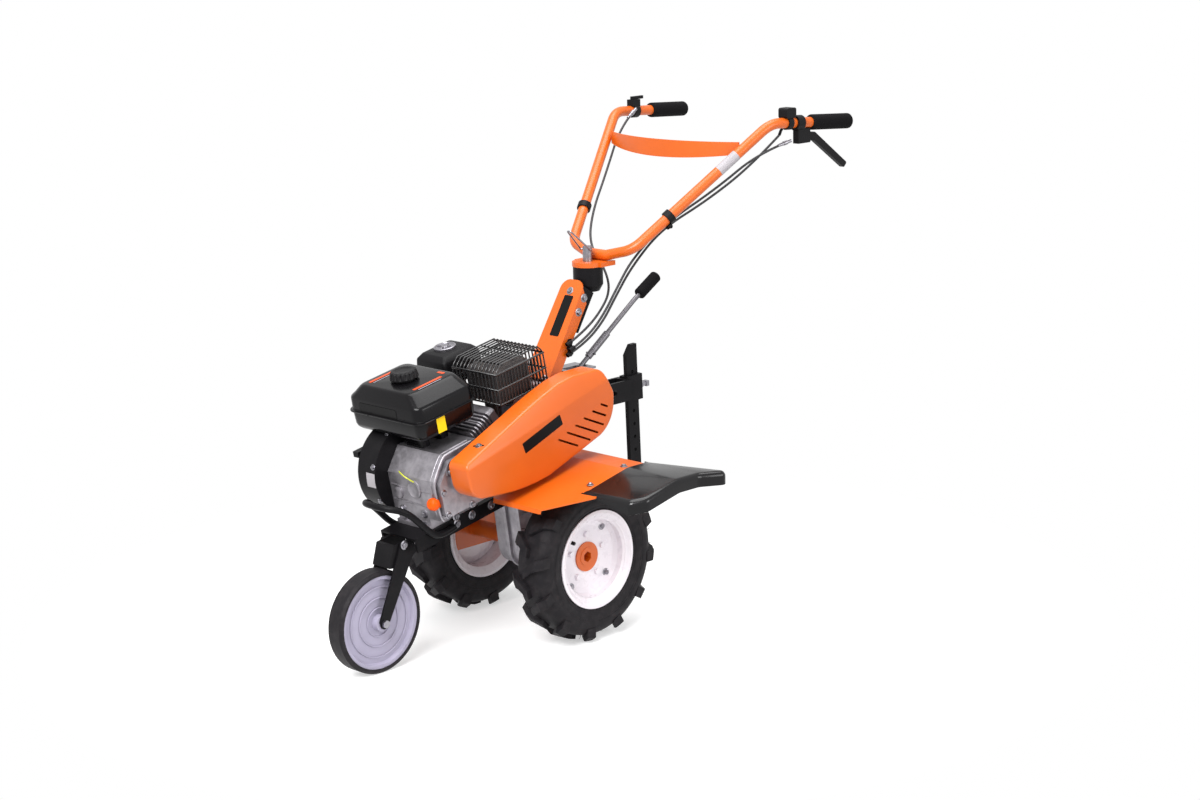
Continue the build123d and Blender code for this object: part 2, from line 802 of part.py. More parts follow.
def crankcase():
    """Cast crankcase with a foot flange, and its side cover with raised ribs on the left."""
    rear = -case_rear
    outline = [
        (rear, case_foot_height),
        (case_front, case_foot_height),
        (case_front, case_height - 50),
        (case_front - 44, case_height),
        (rear + 10, case_height),
        (rear, case_height - 20),
    ]
    case = side_plate(outline, case_right, case_left)
    half = case_foot_half
    foot = slab(-case_foot_rear, case_front, -half, half, 0, case_foot_height + 1)
    flange = slab(-case_foot_rear - 8, case_front + 8, -half, half, 0, 10)
    cover_outline = [
        (rear + 6, case_foot_height + 6),
        (case_front - 6, case_foot_height + 6),
        (case_front - 6, case_height - 60),
        (case_front - 46, case_height - 14),
        (rear + 12, case_height - 14),
        (rear + 6, case_height - 26),
    ]
    cover = side_plate(cover_outline, case_left, case_left + cover_thickness, rounding=12.0)
    boss_length = cover_inner - sheet - 2 * seat_gap - case_left
    boss = Pos(0, case_left, crank_height) * upright_disc(30.0, boss_length)
    shaft = Pos(0, case_left, crank_height) * upright_disc(crank_shaft_radius, 34.0)
    return case + foot + flange + cover + boss + shaft


def fan_housing():
    """Blower housing of stamped sheet on the right of the engine."""
    y = case_right - seat_gap - fan_depth
    drum = Pos(0, y, crank_height) * upright_disc(fan_radius, fan_depth)
    low = crank_height + 20.0
    high = 196.0
    duct_outline = [(-140.0, low), (40.0, low), (40.0, high), (-140.0, high)]
    duct = side_plate(duct_outline, y + 14.0, y + fan_depth, rounding=14.0)
    below_tank = slab(-300, 300, -300, 0, tank_seam_height - tank_depth_below - seat_gap, 400)
    return drum + duct - below_tank


def recoil_starter():
    """Recoil starter cover with its vent ring and the pull handle's boss."""
    y = case_right - 2 * seat_gap - fan_depth
    drum = Pos(0, y - starter_depth, crank_height) * upright_disc(starter_radius, starter_depth)
    drum = chamfer(drum.edges().filter_by(GeomType.CIRCLE).sort_by(Axis.Y)[0:1], 12.0)
    grip = slab(54.0, 92.0, y - 26.0, y - 8.0, crank_height + 50.0, crank_height + 64.0)
    return drum + grip


def cylinder_plane():
    """The cylinder's own axes at its foot: z out along the bore, x up across the fins."""
    tilt = radians(cylinder_lean)
    return Plane(
        origin=(-case_rear - seat_gap, cylinder_y, crank_height + 12.0),
        x_dir=(sin(tilt), 0, cos(tilt)),
        z_dir=(-cos(tilt), 0, sin(tilt)),
    )


def cylinder_fins():
    """Finned barrel and head, leaning back from the crankcase."""
    start = fin_start
    stack = []
    for number in range(fin_count):
        along = start + number * fin_pitch
        span = fin_span if number < 6 else fin_span - fin_step
        fin = Pos(0, 0, along) * extrude(RectangleRounded(span - 12.0, span, 12.0), amount=fin_thickness)
        stack.append(fin)
    length = start + fin_count * fin_pitch
    barrel = Cylinder(barrel_radius, length, align=(Align.CENTER, Align.CENTER, Align.MIN))
    head_outline = RectangleRounded(fin_span - 24.0, fin_span - 16.0, 10.0)
    head = Pos(0, 0, length) * extrude(head_outline, amount=head_thickness)
    body = cylinder_plane() * (barrel + stack + head)
    keep = slab(-400, -case_rear - seat_gap, -200, 200, 0, 400)
    return body & keep


def fuel_tank():
    """Two-part pressed tank with a flange along its seam and a chamfered upper shell."""
    rear = tank_rear
    front = tank_rear + tank_length
    left = tank_left
    right = tank_right
    seam = tank_seam_height
    centre = Pos((rear + front) / 2, (left + right) / 2, 0)
    length = tank_length - 2 * tank_seam
    width = left - right - 2 * tank_seam
    upper = centre * Pos(0, 0, seam) * extrude(RectangleRounded(length, width, 24.0), amount=tank_depth_above)
    upper = chamfer(upper.faces().sort_by(Axis.Z)[-1].edges(), 16.0)
    shell = RectangleRounded(length, width, 24.0)
    lower = centre * Pos(0, 0, seam) * extrude(shell, amount=-tank_depth_below)
    lower = chamfer(lower.faces().sort_by(Axis.Z)[0].edges(), 12.0)
    rim = RectangleRounded(tank_length, width + 2 * tank_seam, 28.0)
    flange = centre * Pos(0, 0, seam - 2.0) * extrude(rim, amount=4.0)
    base = seam - tank_depth_below
    feet = [
        slab(x - 14.0, x + 14.0, -40.0, 62.0, case_height + seat_gap, base + 1.0)
        for x in (-52.0, 6.0)
    ]
    return upper + lower + flange + feet


def fuel_cap():
    """Round knurled tank cap."""
    top = tank_seam_height + tank_depth_above + seat_gap
    at = Pos(tank_rear + tank_length / 2 + 6.0, (tank_left + tank_right) / 2, top)
    disc = Cylinder(cap_radius, cap_height, align=(Align.CENTER, Align.CENTER, Align.MIN))
    flutes = []
    for number in range(12):
        turn = radians(number * 30.0)
        edge = Pos(cap_radius * cos(turn), cap_radius * sin(turn), 6.0)
        flutes.append(edge * Cylinder(3.5, 40, align=(Align.CENTER, Align.CENTER, Align.MIN)))
    return at * (chamfer(disc.faces().sort_by(Axis.Z)[-1].edges(), 4.0) - flutes)


def air_cleaner():
    """Box-shaped air cleaner cover with a rounded top."""
    length, width, height = cleaner_size
    box = Pos(*cleaner_at) * extrude(RectangleRounded(length, width, 18.0), amount=height)
    return chamfer(box.faces().sort_by(Axis.Z)[-1].edges(), 9.0)


def air_cleaner_nut():
    """Round wing knob on the air cleaner."""
    x, y, z = cleaner_at
    top = z + cleaner_size[2] + seat_gap
    return Pos(x + 6.0, y + 4.0, top) * Cylinder(27.0, 7.0, align=(Align.CENTER, Align.CENTER, Align.MIN))


def muffler():
    """Muffler drum under its guard."""
    length, width, height = muffler_size
    x, y, z = muffler_at
    box = Pos(x, y, z) * extrude(RectangleRounded(length, width, 26.0), amount=height)
    head_end = fin_start + fin_count * fin_pitch + head_thickness + seat_gap
    pipe = rod((x + 28.0, y - 14.0, z - 110.0), (x + 28.0, y - 14.0, z + 2.0), exhaust_pipe_radius)
    below_head = cylinder_plane() * slab(-200, 200, -200, 200, head_end - 300.0, head_end)
    return chamfer(box.faces().sort_by(Axis.Z)[-1].edges(), 8.0) + (pipe - below_head)


def carburettor():
    """Carburettor and intake block between the cylinder's right side and the air cleaner."""
    x, y, z = cleaner_at
    side = cylinder_y - (fin_span - fin_step) / 2 - seat_gap
    body = slab(x + 8.0, x + 50.0, side - 50.0, side, z - 84.0, z - seat_gap)
    bowl = rod((x + 29.0, side - 28.0, z - 104.0), (x + 29.0, side - 28.0, z - 80.0), 18.0)
    return body + bowl


def muffler_guard():
    """Slatted heat guard: bent bars over the muffler, held by rails along their ends."""
    length, width, height = muffler_size
    x, y, z = muffler_at
    out_x = length / 2 + guard_gap
    out_y = width / 2 + guard_gap
    top = z + height + guard_gap
    bars = []
    pitch = 2 * out_y / guard_bars
    for number in range(guard_bars):
        at = y - out_y + (number + 0.5) * pitch
        outside = [(-out_x, z), (-out_x, top - 22), (18 - out_x, top)]
        outside = outside + [(-x_at, z_at) for x_at, z_at in reversed(outside)]
        inner = out_x - guard_bar
        inside = [(inner, z), (inner, top - 24), (out_x - 20, top - guard_bar)]
        inside = inside + [(-x_at, z_at) for x_at, z_at in reversed(inside)]
        bar = side_plate(outside + inside, at - pitch * 0.28, at + pitch * 0.28)
        bars.append(Pos(x, 0, 0) * bar)
    rails = []
    near = x + out_x - guard_bar
    far = x - out_x
    for px, pz in ((far, z), (far, top - 40), (x, top - guard_bar - 3), (near, z), (near, top - 40)):
        rails.append(slab(px, px + guard_bar, y - out_y, y + out_y, pz, pz + guard_bar + 3))
    muffler_top = z + height + seat_gap
    studs = [rod((x, side, muffler_top), (x, side, top - 1.0), 5.0) for side in (y - 32.0, y + 32.0)]
    return bars[0] + bars[1:] + rails + studs


def oil_filler_cap():
    """Oil filler plug at the crankcase's front corner."""
    at = Plane(
        origin=(case_front + seat_gap - 6.0, case_left - 20.0, 66.0),
        z_dir=(cos(radians(30)), 0, sin(radians(30))),
    )
    plug = at * Cylinder(13.0, 24.0, align=(Align.CENTER, Align.CENTER, Align.MIN))
    keep = slab(case_front + seat_gap, 300, -300, 300, 0, 300)
    return plug & keep


# Frame under the engine and the front wheel


def rail_plane():
    """The rails' own frame: x forward along their top edge, z out of it."""
    return Plane(
        origin=(rail_top_at[0], 0, rail_top_at[1]),
        x_dir=(cos(radians(nose_down)), 0, -sin(radians(nose_down))),
        z_dir=(sin(radians(nose_down)), 0, cos(radians(nose_down))),
    )


def engine_rails():
    """Two angle rails and the cross members that join them."""
    start = rail_rear - rail_top_at[0]
    end = rail_front - rail_top_at[0]
    side = rail_half_span
    web_start = rail_web_rear - rail_top_at[0]
    web = slab(web_start, end, side - rail_sheet, side, -rail_depth, 0)
    flange = slab(start, end, side - rail_flange, side, -rail_sheet, 0)
    left = web + flange
    front_tie = slab(end - 70.0, end, -side, side, -rail_sheet, 0)
    rear_tie = slab(start, start + 40.0, -side, side, -rail_sheet, 0)
    return rail_plane() * (left + mirror(left, Plane.XZ) + front_tie + rear_tie)


def front_bumper():
    """Bent round bumper loop ahead of the engine."""
    side = rail_half_span + bumper_tube_radius + seat_gap
    arm = [
        (300.0, side, 318.0),
        (345.0, side, 303.0),
        (378.0, side, 322.0),
        (414.0, side - 4.0, 360.0),
        (455.0, side - 12.0, 388.0),
        (505.0, 40.0, 402.0),
    ]
    points = arm + [(x, -y, z) for x, y, z in reversed(arm)]
    radii = [40.0, 60.0, 60.0, 60.0, 34.0]
    return bent_tube(points, radii + radii[::-1], bumper_tube_radius)


def front_bracket():
    """Folded bracket below the rails' front that carries the fork."""
    half = fork_gap / 2 - seat_gap
    top_z = on_rails(400.0) - rail_sheet - seat_gap
    outline = [
        (360.0, on_rails(360.0) - rail_sheet - 1.0),
        bracket_front_top,
        bracket_front_foot,
        (bracket_front_foot[0] - 4.0, bracket_front_foot[1]),
        (bracket_front_top[0] - 6.0, bracket_front_top[1] - 5.0),
        (360.0, on_rails(360.0) - rail_sheet - 6.0),
    ]
    web = side_plate(outline, -half, half)
    cheek = side_plate(
        [
            (360.0, on_rails(360.0) - rail_sheet - 1.0),
            bracket_front_top,
            bracket_front_foot,
            (440.0, 244.0),
            (372.0, 276.0),
        ],
        half - 4.0,
        half,
    )
    keep = rail_plane() * slab(-100, 600, -200, 200, -300, -rail_sheet - seat_gap)
    return (web + cheek + mirror(cheek, Plane.XZ)) & keep


def front_fork():
    """Two flat fork legs bolted outside the bracket, round at the wheel's bolt."""
    inner = fork_gap / 2
    axle_x, axle_z = front_axle
    leg = side_plate(
        [
            (366.0, on_rails(366.0) - rail_sheet - 1.0),
            (436.0, on_rails(436.0) - rail_sheet - 1.0),
            (axle_x + 13.0, axle_z + 4.0),
            (axle_x + 6.0, axle_z - 14.0),
            (axle_x - 9.0, axle_z - 12.0),
            (404.0, 262.0),
            (366.0, 290.0),
        ],
        inner,
        inner + fork_plate,
        rounding=[6.0, 8.0, 8.0, 8.0, 8.0, 30.0, 6.0],
    )
    hole = Pos(axle_x, 0, axle_z) * upright_disc(front_bolt_radius + seat_gap, 60)
    heads = []
    for x, z in (fork_top_front, fork_top_rear):
        heads.append(Pos(x, inner + fork_plate, z) * bolt_head(8.0, 6.0))
    return both_sides(leg - hole + heads)


def front_wheel_bolt():
    """Bolt that carries the front wheel between the fork legs."""
    axle_x, axle_z = front_axle
    outer = fork_gap / 2 + fork_plate + seat_gap
    shank = Pos(axle_x, -outer, axle_z) * upright_disc(front_bolt_radius, 2 * outer)
    head = Pos(axle_x, outer, axle_z) * bolt_head(10.0, 7.0)
    nut = Pos(axle_x, -outer - 7.0, axle_z) * bolt_head(10.0, 7.0)
    return shank + head + nut


def front_wheel_disc():
    """Moulded wheel disc: a dished web between its hub and its rim."""
    half = front_disc_width / 2
    radius = front_wheel_radius - front_tyre_thickness - seat_gap
    bore = front_bolt_radius + running_gap
    hub_half = fork_gap / 2 - 1.0
    profile = [
        (bore, -hub_half),
        (front_hub_radius, -hub_half),
        (front_hub_radius, -half + 9.0),
        (radius - 12.0, -half + 9.0),
        (radius - 8.0, -half),
        (radius, -half),
        (radius, half),
        (radius - 8.0, half),
        (radius - 12.0, half - 9.0),
        (front_hub_radius, half - 9.0),
        (front_hub_radius, hub_half),
        (bore, hub_half),
    ]
    return Pos(front_axle[0], 0, front_axle[1]) * revolved_y(profile)


def front_tyre():
    """Smooth rubber band with rounded shoulders."""
    half = front_tyre_width / 2
    inner = front_wheel_radius - front_tyre_thickness
    profile = [
        (inner, -half + 1.0),
        (front_wheel_radius - 5.0, -half),
        (front_wheel_radius, -half + 6.0),
        (front_wheel_radius, half - 6.0),
        (front_wheel_radius - 5.0, half),
        (inner, half - 1.0),
    ]
    return Pos(front_axle[0], 0, front_axle[1]) * revolved_y(profile)


# Belt cover


def cover_outline(inset):
    """The belt cover in the side view, drawn in by an inset: straight top and foot, round rear."""
    cx, cz = cover_rear_centre
    radius = cover_rear_radius - inset
    front_x, front_z = cover_front
    foot_x, foot_z = cover_foot
    top_turn = radians(62.0)
    top = (cx + radius * cos(top_turn), cz + radius * sin(top_turn))
    low_turn = radians(-112.0)
    low = (cx + radius * cos(low_turn), cz + radius * sin(low_turn))
    back = (cx - radius, cz)
    return (
        ThreePointArc(top, back, low)
        + Line(low, (foot_x - inset, foot_z + inset))
        + Line((foot_x - inset, foot_z + inset), (foot_x + 52.0 - inset, foot_z + 26.0 + inset * 0.6))
        + Line((foot_x + 52.0 - inset, foot_z + 26.0 + inset * 0.6), (front_x - inset, front_z - inset * 0.4))
        + Line((front_x - inset, front_z - inset * 0.4), (front_x - 22.0 - inset, front_z + 22.0 - inset))
        + Line((front_x - 22.0 - inset, front_z + 22.0 - inset), top)
    )


def cover_form(inset):
    """The cover's outer form drawn in by an inset, with its wide upper bevel."""
    outer = cover_outer - inset
    view = Plane(origin=(0, outer, 0), x_dir=(1, 0, 0), z_dir=(0, -1, 0))
    body = view * extrude(make_face(cover_outline(inset)), amount=outer - cover_inner + inset)
    rise = degrees(atan2(cover_rear_centre[1] - cover_front[1] + 60.0, cover_front[0] - cover_rear_centre[0]))
    edge = Plane(
        origin=(cover_front[0], outer, cover_front[1] - 16.0),
        x_dir=(-cos(radians(rise)), 0, sin(radians(rise))),
        z_dir=(sin(radians(rise)), 0, cos(radians(rise))),
    )
    wedge = extrude(
        Plane.YZ * make_face(Polyline((0, 0), (60, 0), (60, 120), (-cover_bevel, 120), close=True)),
        amount=700,
        both=True,
    )
    return body - edge * wedge


def belt_cover():
    """Pressed sheet cover over the belt drive, open to its back plate, with louvre slots."""
    shell = cover_form(0) - cover_form(cover_wall)
    cx, cz = cover_rear_centre
    slots = []
    for number in range(slot_count):
        length = 24.0 + number * 12.0
        drop = number * slot_pitch
        centre_x = cx - 34.0 + number * 17.0
        outer = cover_outer
        slot = slab(-length / 2, length / 2, outer - 6.0, outer + 6.0, -slot_width / 2, slot_width / 2)
        slots.append(Pos(centre_x, 0, cz + 30.0 - drop) * Rot(0, 9.0, 0) * slot)
    return shell - slots


def belt_cover_back():
    """Flat back plate that closes the belt cover and is bolted to the engine and the gear case."""
    view = Plane(origin=(0, cover_inner - seat_gap, 0), x_dir=(1, 0, 0), z_dir=(0, -1, 0))
    shaft_hole = engine_place() * Pos(0, 0, crank_height) * upright_disc(crank_shaft_radius + 3.0, 200.0)
    return view * extrude(make_face(cover_outline(1.0)), amount=sheet) - shaft_hole


# Wings


def wing():
    """Left wing over the wheel: a flat rear strip and a front part that slopes down."""
    top = wing_height
    outline = [
        (wing_rear_x, top - 12.0),
        (wing_rear_x, top),
        (wing_fold_x, top),
        (wing_front_x, wing_front_height),
        (wing_front_x + 3.0, wing_front_height - 10.0),
        (wing_front_x, wing_front_height - 10.0),
        (wing_front_x - 1.0, wing_front_height - sheet),
        (wing_fold_x, top - sheet),
        (wing_rear_x + sheet, top - sheet),
        (wing_rear_x + sheet, top - 12.0),
    ]
    root = gearbox_half_width + seat_gap
    band = side_plate(outline, root, wing_outer + 6.0)
    plan = make_face(
        Polyline(
            (wing_rear_x - 5, root),
            (wing_notch_x, root),
            (wing_front_x + 5, wing_notch_y),
            (wing_front_x + 5, wing_front_half),
            (114.0, wing_outer),
            (wing_rear_x - 5, wing_outer + 4.0),
            close=True,
        )
    )
    return band & (Pos(0, 0, 300) * extrude(plan, amount=200))


def wing_surface(x):
    """Height of the wing's upper face at a place along the machine."""
    if x < wing_fold_x:
        return wing_height
    slope = (wing_height - wing_front_height) / (wing_front_x - wing_fold_x)
    return wing_height - (x - wing_fold_x) * slope


def flap_section(points, y):
    """A cross-section of the moulded end piece, as a face across the machine at y."""
    low = [(x, z - flap_wall) for x, z in reversed(points)]
    view = Plane(origin=(0, y, 0), x_dir=(1, 0, 0), z_dir=(0, -1, 0))
    return view * make_face(Polyline(*points, *low, close=True))


def wing_flap():
    """Moulded end piece on the left wing, lower at its outer edge."""
    lift = seat_gap + flap_wall
    root = [(x, wing_surface(x) + lift) for x in (flap_front_x, wing_fold_x, wing_rear_x)]
    tip = [
        (flap_front_x, wing_surface(flap_front_x) + lift - 4.0),
        (wing_fold_x, wing_height - flap_drop),
        (flap_tip_x, wing_height - flap_drop + 2.0),
    ]
    inner = flap_section(root, flap_root)
    middle = flap_section(root, wing_outer + 8.0)
    return loft([inner, middle], ruled=True) + loft([middle, flap_section(tip, flap_tip_y)], ruled=True)


# Cables


def cable(points):
    """A cable along a route, with arcs as large as the runs beside them allow."""
    radii = []
    for before, at, after in zip(points, points[1:], points[2:]):
        come = Vector(*at) - Vector(*before)
        go = Vector(*after) - Vector(*at)
        turn = radians(come.get_angle(go))
        radii.append(0.45 * min(come.length, go.length) / tan(turn / 2))
    print("cable radii", [round(radius) for radius in radii])
    return bent_tube(points, radii, cable_radius)


throttle_route = [
    (-660.0, -240.0, 1186.0),
    (-600.0, -236.0, 1150.0),
    (-480.0, -176.0, 1042.0),
    (-373.0, -122.0, 960.0),
    (-310.0, -74.0, 890.0),
    (-292.0, 0.0, 836.0),
    (-262.0, 44.0, 790.0),
    (-214.0, 52.0, 744.0),
    (-160.0, 50.0, 706.0),
    (-112.0, 47.0, 684.0),
]

clutch_route = [
    (-690.0, 262.0, 1133.0),
    (-600.0, 236.0, 1110.0),
    (-500.0, 186.0, 1030.0),
    (-373.0, 124.0, 950.0),
    (-300.0, 84.0, 870.0),
    (-262.0, 66.0, 800.0),
    (-214.0, 65.0, 740.0),
    (-160.0, 62.0, 694.0),
    (-112.0, 57.0, 672.0),
]

stop_wire_route = [
    (-664.0, 250.0, 1150.0),
    (-590.0, 222.0, 1080.0),
    (-480.0, 170.0, 1000.0),
    (-373.0, 116.0, 938.0),
    (-310.0, 74.0, 850.0),
    (-270.0, 56.0, 780.0),
    (-222.0, 56.0, 722.0),
    (-164.0, 52.0, 678.0),
    (-112.0, 48.0, 658.0),
]


def cables():
    """Throttle cable, clutch cable and stop wire, from the handlebar to the column's side."""
    return {
        "throttle_cable": cable(throttle_route),
        "clutch_cable": cable(clutch_route),
        "stop_wire": cable(stop_wire_route),
    }


def cable_bracket():
    """Clip block on the column's left cheek that takes the ends of the cables."""
    cheek = column_width_foot / 2
    block = slab(-132.0, -106.0, cheek - 2.0, cheek + 24.0, 648.0, 696.0)
    for route in (throttle_route, clutch_route, stop_wire_route):
        block = block - rod(route[-2], route[-1], cable_radius + seat_gap)
    return block - column_solid(seat_gap)


def engine_nodes():
    """The engine's pieces at their place on the rails."""
    place = engine_place()
    made = {
        "crankcase": crankcase(),
        "fan_housing": fan_housing(),
        "recoil_starter": recoil_starter(),
        "cylinder_fins": cylinder_fins(),
        "fuel_tank": fuel_tank(),
        "fuel_cap": fuel_cap(),
        "air_cleaner": air_cleaner(),
        "air_cleaner_nut": air_cleaner_nut(),
        "carburettor": carburettor(),
        "muffler": muffler(),
        "muffler_guard": muffler_guard(),
        "oil_filler_cap": oil_filler_cap(),
    }
    return {name: place * part for name, part in made.items()}


nodes = {
    **drive_wheel_nodes(),
    "gearbox": gearbox(),
    "gear_plate": gear_plate(),
    "gear_lever": gear_lever(),
    "gear_lever_grip": gear_lever_grip(),
    "hitch_bracket": hitch_bracket(),
    "stake_clamp_screw": stake_clamp_screw(),
    "depth_stake": depth_stake(),
    "column": column(),
    "column_knuckle": column_knuckle(),
    "handlebar": handlebar(),
    "swivel_nut": swivel_nut(),
    "cross_plate": cross_plate(),
    "grips": grips(),
    "clutch_bracket": clutch_bracket(),
    "clutch_lever": clutch_lever(),
    "switch_box": switch_box(),
    "throttle_lever": throttle_lever(),
    **engine_nodes(),
    "engine_rails": engine_rails(),
    "front_bumper": front_bumper(),
    "front_bracket": front_bracket(),
    "front_fork": front_fork(),
    "front_wheel_bolt": front_wheel_bolt(),
    "front_wheel_disc": front_wheel_disc(),
    "front_tyre": front_tyre(),
    "belt_cover": belt_cover(),
    "belt_cover_back": belt_cover_back(),
    "wings": both_sides(wing()),
    "wing_flaps": both_sides(wing_flap()),
    "cable_bracket": cable_bracket(),
    **cables(),
}

for name, part in nodes.items():
    export_step(Pos(to_middle, 0, 0) * part, f"parts/{name}.step")
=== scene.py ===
"""Looks of a two-wheel hand tractor: finishes, formed covers, fine pieces, studio stage and camera."""

import json
import math
import random

import bmesh
import bpy
from mathutils import Matrix, Vector


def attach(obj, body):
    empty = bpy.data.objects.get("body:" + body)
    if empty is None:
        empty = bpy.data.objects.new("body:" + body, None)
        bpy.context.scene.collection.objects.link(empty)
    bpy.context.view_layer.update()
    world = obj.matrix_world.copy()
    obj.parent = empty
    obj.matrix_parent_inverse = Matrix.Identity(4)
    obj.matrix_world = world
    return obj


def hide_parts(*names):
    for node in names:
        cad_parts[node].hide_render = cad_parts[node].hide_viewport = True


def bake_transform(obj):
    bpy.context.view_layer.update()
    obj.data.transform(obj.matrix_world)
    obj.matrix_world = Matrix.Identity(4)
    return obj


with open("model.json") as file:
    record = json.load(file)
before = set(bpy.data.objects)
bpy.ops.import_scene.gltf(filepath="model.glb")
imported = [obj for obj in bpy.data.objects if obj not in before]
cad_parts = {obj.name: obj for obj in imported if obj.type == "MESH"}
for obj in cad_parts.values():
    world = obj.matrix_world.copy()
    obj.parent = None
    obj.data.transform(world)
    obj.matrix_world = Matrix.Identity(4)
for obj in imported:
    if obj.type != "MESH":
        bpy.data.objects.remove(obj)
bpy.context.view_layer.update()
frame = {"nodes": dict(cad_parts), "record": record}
cad_nodes = frame["nodes"]

bl_info = {
    "name": "Hand Tractor",
    "version": (1, 0, 0),
    "blender": (4, 5, 0),
    "location": "View3D > Sidebar > Tractor",
    "description": "Dresses the hand tractor with its finishes, fine pieces and studio stage",
    "category": "Object",
}

MM = 0.001
# From the frame's origin forward to the drive axle, in metres
AXLE_X = 0.141


# Colours and nodes

def linear(code):
    """sRGB hex code to linear RGBA."""
    channels = [int(code[i:i + 2], 16) / 255 for i in (0, 2, 4)]
    return tuple(c / 12.92 if c <= 0.04045 else ((c + 0.055) / 1.055) ** 2.4 for c in channels) + (1.0,)


def shaded(code, share):
    """A hex colour in linear light, multiplied by share."""
    return tuple(c * share for c in linear(code)[:3]) + (1.0,)


def add_node(tree, kind, inputs=None, **settings):
    """Adds one shader node; inputs are numbers, colours or the output sockets of other nodes."""
    node = tree.nodes.new(kind)
    for name, value in settings.items():
        setattr(node, name, value)
    for socket, value in (inputs or {}).items():
        if isinstance(value, bpy.types.NodeSocket):
            tree.links.new(value, node.inputs[socket])
        else:
            node.inputs[socket].default_value = value
    return node


def new_material(name):
    """Makes an empty material; returns its node tree and its surface input."""
    material = bpy.data.materials.new(name)
    material.use_nodes = True
    tree = material.node_tree
    tree.nodes.clear()
    output = add_node(tree, "ShaderNodeOutputMaterial")
    return tree, output.inputs["Surface"]


def grain(tree, size_mm, detail=2.0, roughness=0.5):
    """Noise in object space whose lumps are size_mm wide; returns its value socket."""
    place = add_node(tree, "ShaderNodeTexCoord").outputs["Object"]
    noise = add_node(tree, "ShaderNodeTexNoise", {
        "Vector": place, "Scale": 1.0 / (size_mm * MM), "Detail": detail, "Roughness": roughness})
    return noise.outputs["Fac"]


def between(tree, value, low, high, to_low=0.0, to_high=1.0):
    """Clamped straight map of a value from low..high to to_low..to_high."""
    return add_node(tree, "ShaderNodeMapRange", {
        "Value": value, "From Min": low, "From Max": high,
        "To Min": to_low, "To Max": to_high}).outputs["Result"]


def mixed(tree, factor, first, second):
    """Colour mix; factor is a socket or a number."""
    return add_node(tree, "ShaderNodeMix", {0: factor, 6: first, 7: second},
                    data_type="RGBA").outputs[2]


def bumped(tree, height, depth_mm, below=None):
    """Bump from a height socket; a second bump can lie below it."""
    inputs = {"Height": height, "Distance": depth_mm * MM}
    if below:
        inputs["Normal"] = below
    return add_node(tree, "ShaderNodeBump", inputs).outputs["Normal"]


def shader(tree, surface, colour, roughness, normal=None, **sockets):
    """The principled shader of a finish, joined to the surface."""
    inputs = {"Base Color": colour, "Roughness": roughness}
    if normal:
        inputs["Normal"] = normal
    inputs.update({name.replace("_", " "): value for name, value in sockets.items()})
    bsdf = add_node(tree, "ShaderNodeBsdfPrincipled", inputs)
    tree.links.new(bsdf.outputs["BSDF"], surface)


# Finishes: each starts from the real material and from how its surface was made

DUST_HAZE = "1E1C1E"
RUBBER_BLOOM = "302C2E"
BROWNED_STEEL = "4A4340"
BLUED_SCALE = "2B2A2F"


def powder_coated_steel(name, code, roughness=0.32):
    """Polyester powder coat baked on steel sheet and tube."""
    tree, surface = new_material(name)
    # The melt leaves a faint orange peel with waves about 2 mm apart, and the sheen varies slowly.
    peel = grain(tree, 2.2, detail=1.0)
    drift = grain(tree, 90.0)
    colour = mixed(tree, between(tree, drift, 0.35, 0.65), linear(code), shaded(code, 0.94))
    gloss = between(tree, grain(tree, 14.0, detail=3.0), 0.3, 0.7, roughness - 0.03, roughness + 0.05)
    shader(tree, surface, colour, gloss, bumped(tree, peel, 0.05), IOR=1.5)


def satin_paint(name, code):
    """Stoved satin paint on pressed steel, with dust that settles in a fine haze."""
    tree, surface = new_material(name)
    # The haze lightens the black in soft patches, so that broad faces don't look flat.
    haze = between(tree, grain(tree, 35.0, detail=4.0), 0.45, 0.75, 0.0, 0.35)
    colour = mixed(tree, haze, linear(code), linear(DUST_HAZE))
    shader(tree, surface, colour, 0.42, bumped(tree, grain(tree, 1.4, detail=1.0), 0.03),
           IOR=1.5, Specular_IOR_Level=0.1)


def stoved_gloss_enamel(name, code, gleam=0.12):
    """Deep stoved enamel on pressings and welded bars: a wet look with hardly any peel."""
    tree, surface = new_material(name)
    # Long faint waves bend the lamps' reflections, and gleam sets how much of them shows.
    peel = grain(tree, 4.0, detail=1.0)
    shader(tree, surface, linear(code), 0.24, bumped(tree, peel, 0.03), IOR=1.52,
           Specular_IOR_Level=gleam, Coat_Weight=gleam, Coat_Roughness=0.08)


def moulded_rubber(name, code, roughness=0.62):
    """Vulcanised tyre rubber: fine mould grain, faint bloom and dust."""
    tree, surface = new_material(name)
    # Bloom and dust grey the black, and two sizes of grain break up its highlights.
    bloom = between(tree, grain(tree, 22.0, detail=5.0, roughness=0.6), 0.42, 0.72, 0.0, 0.55)
    colour = mixed(tree, bloom, linear(code), linear(RUBBER_BLOOM))
    fine = bumped(tree, grain(tree, 0.9, detail=3.0), 0.08)
    shader(tree, surface, colour, roughness, bumped(tree, grain(tree, 12.0), 0.25, below=fine),
           IOR=1.52, Specular_IOR_Level=0.15)


def moulded_plastic(name, code, roughness=0.45, grain_mm=1.1, depth_mm=0.05):
    """Injection-moulded plastic with the spark-eroded grain of its mould."""
    tree, surface = new_material(name)
    # The grain spreads the highlights, and the colour drifts a little across each moulding.
    erosion = grain(tree, grain_mm)
    drift = between(tree, grain(tree, 60.0), 0.35, 0.65)
    colour = mixed(tree, drift, linear(code), shaded(code, 0.9))
    shader(tree, surface, colour, roughness, bumped(tree, erosion, depth_mm), IOR=1.49,
           Specular_IOR_Level=0.14)


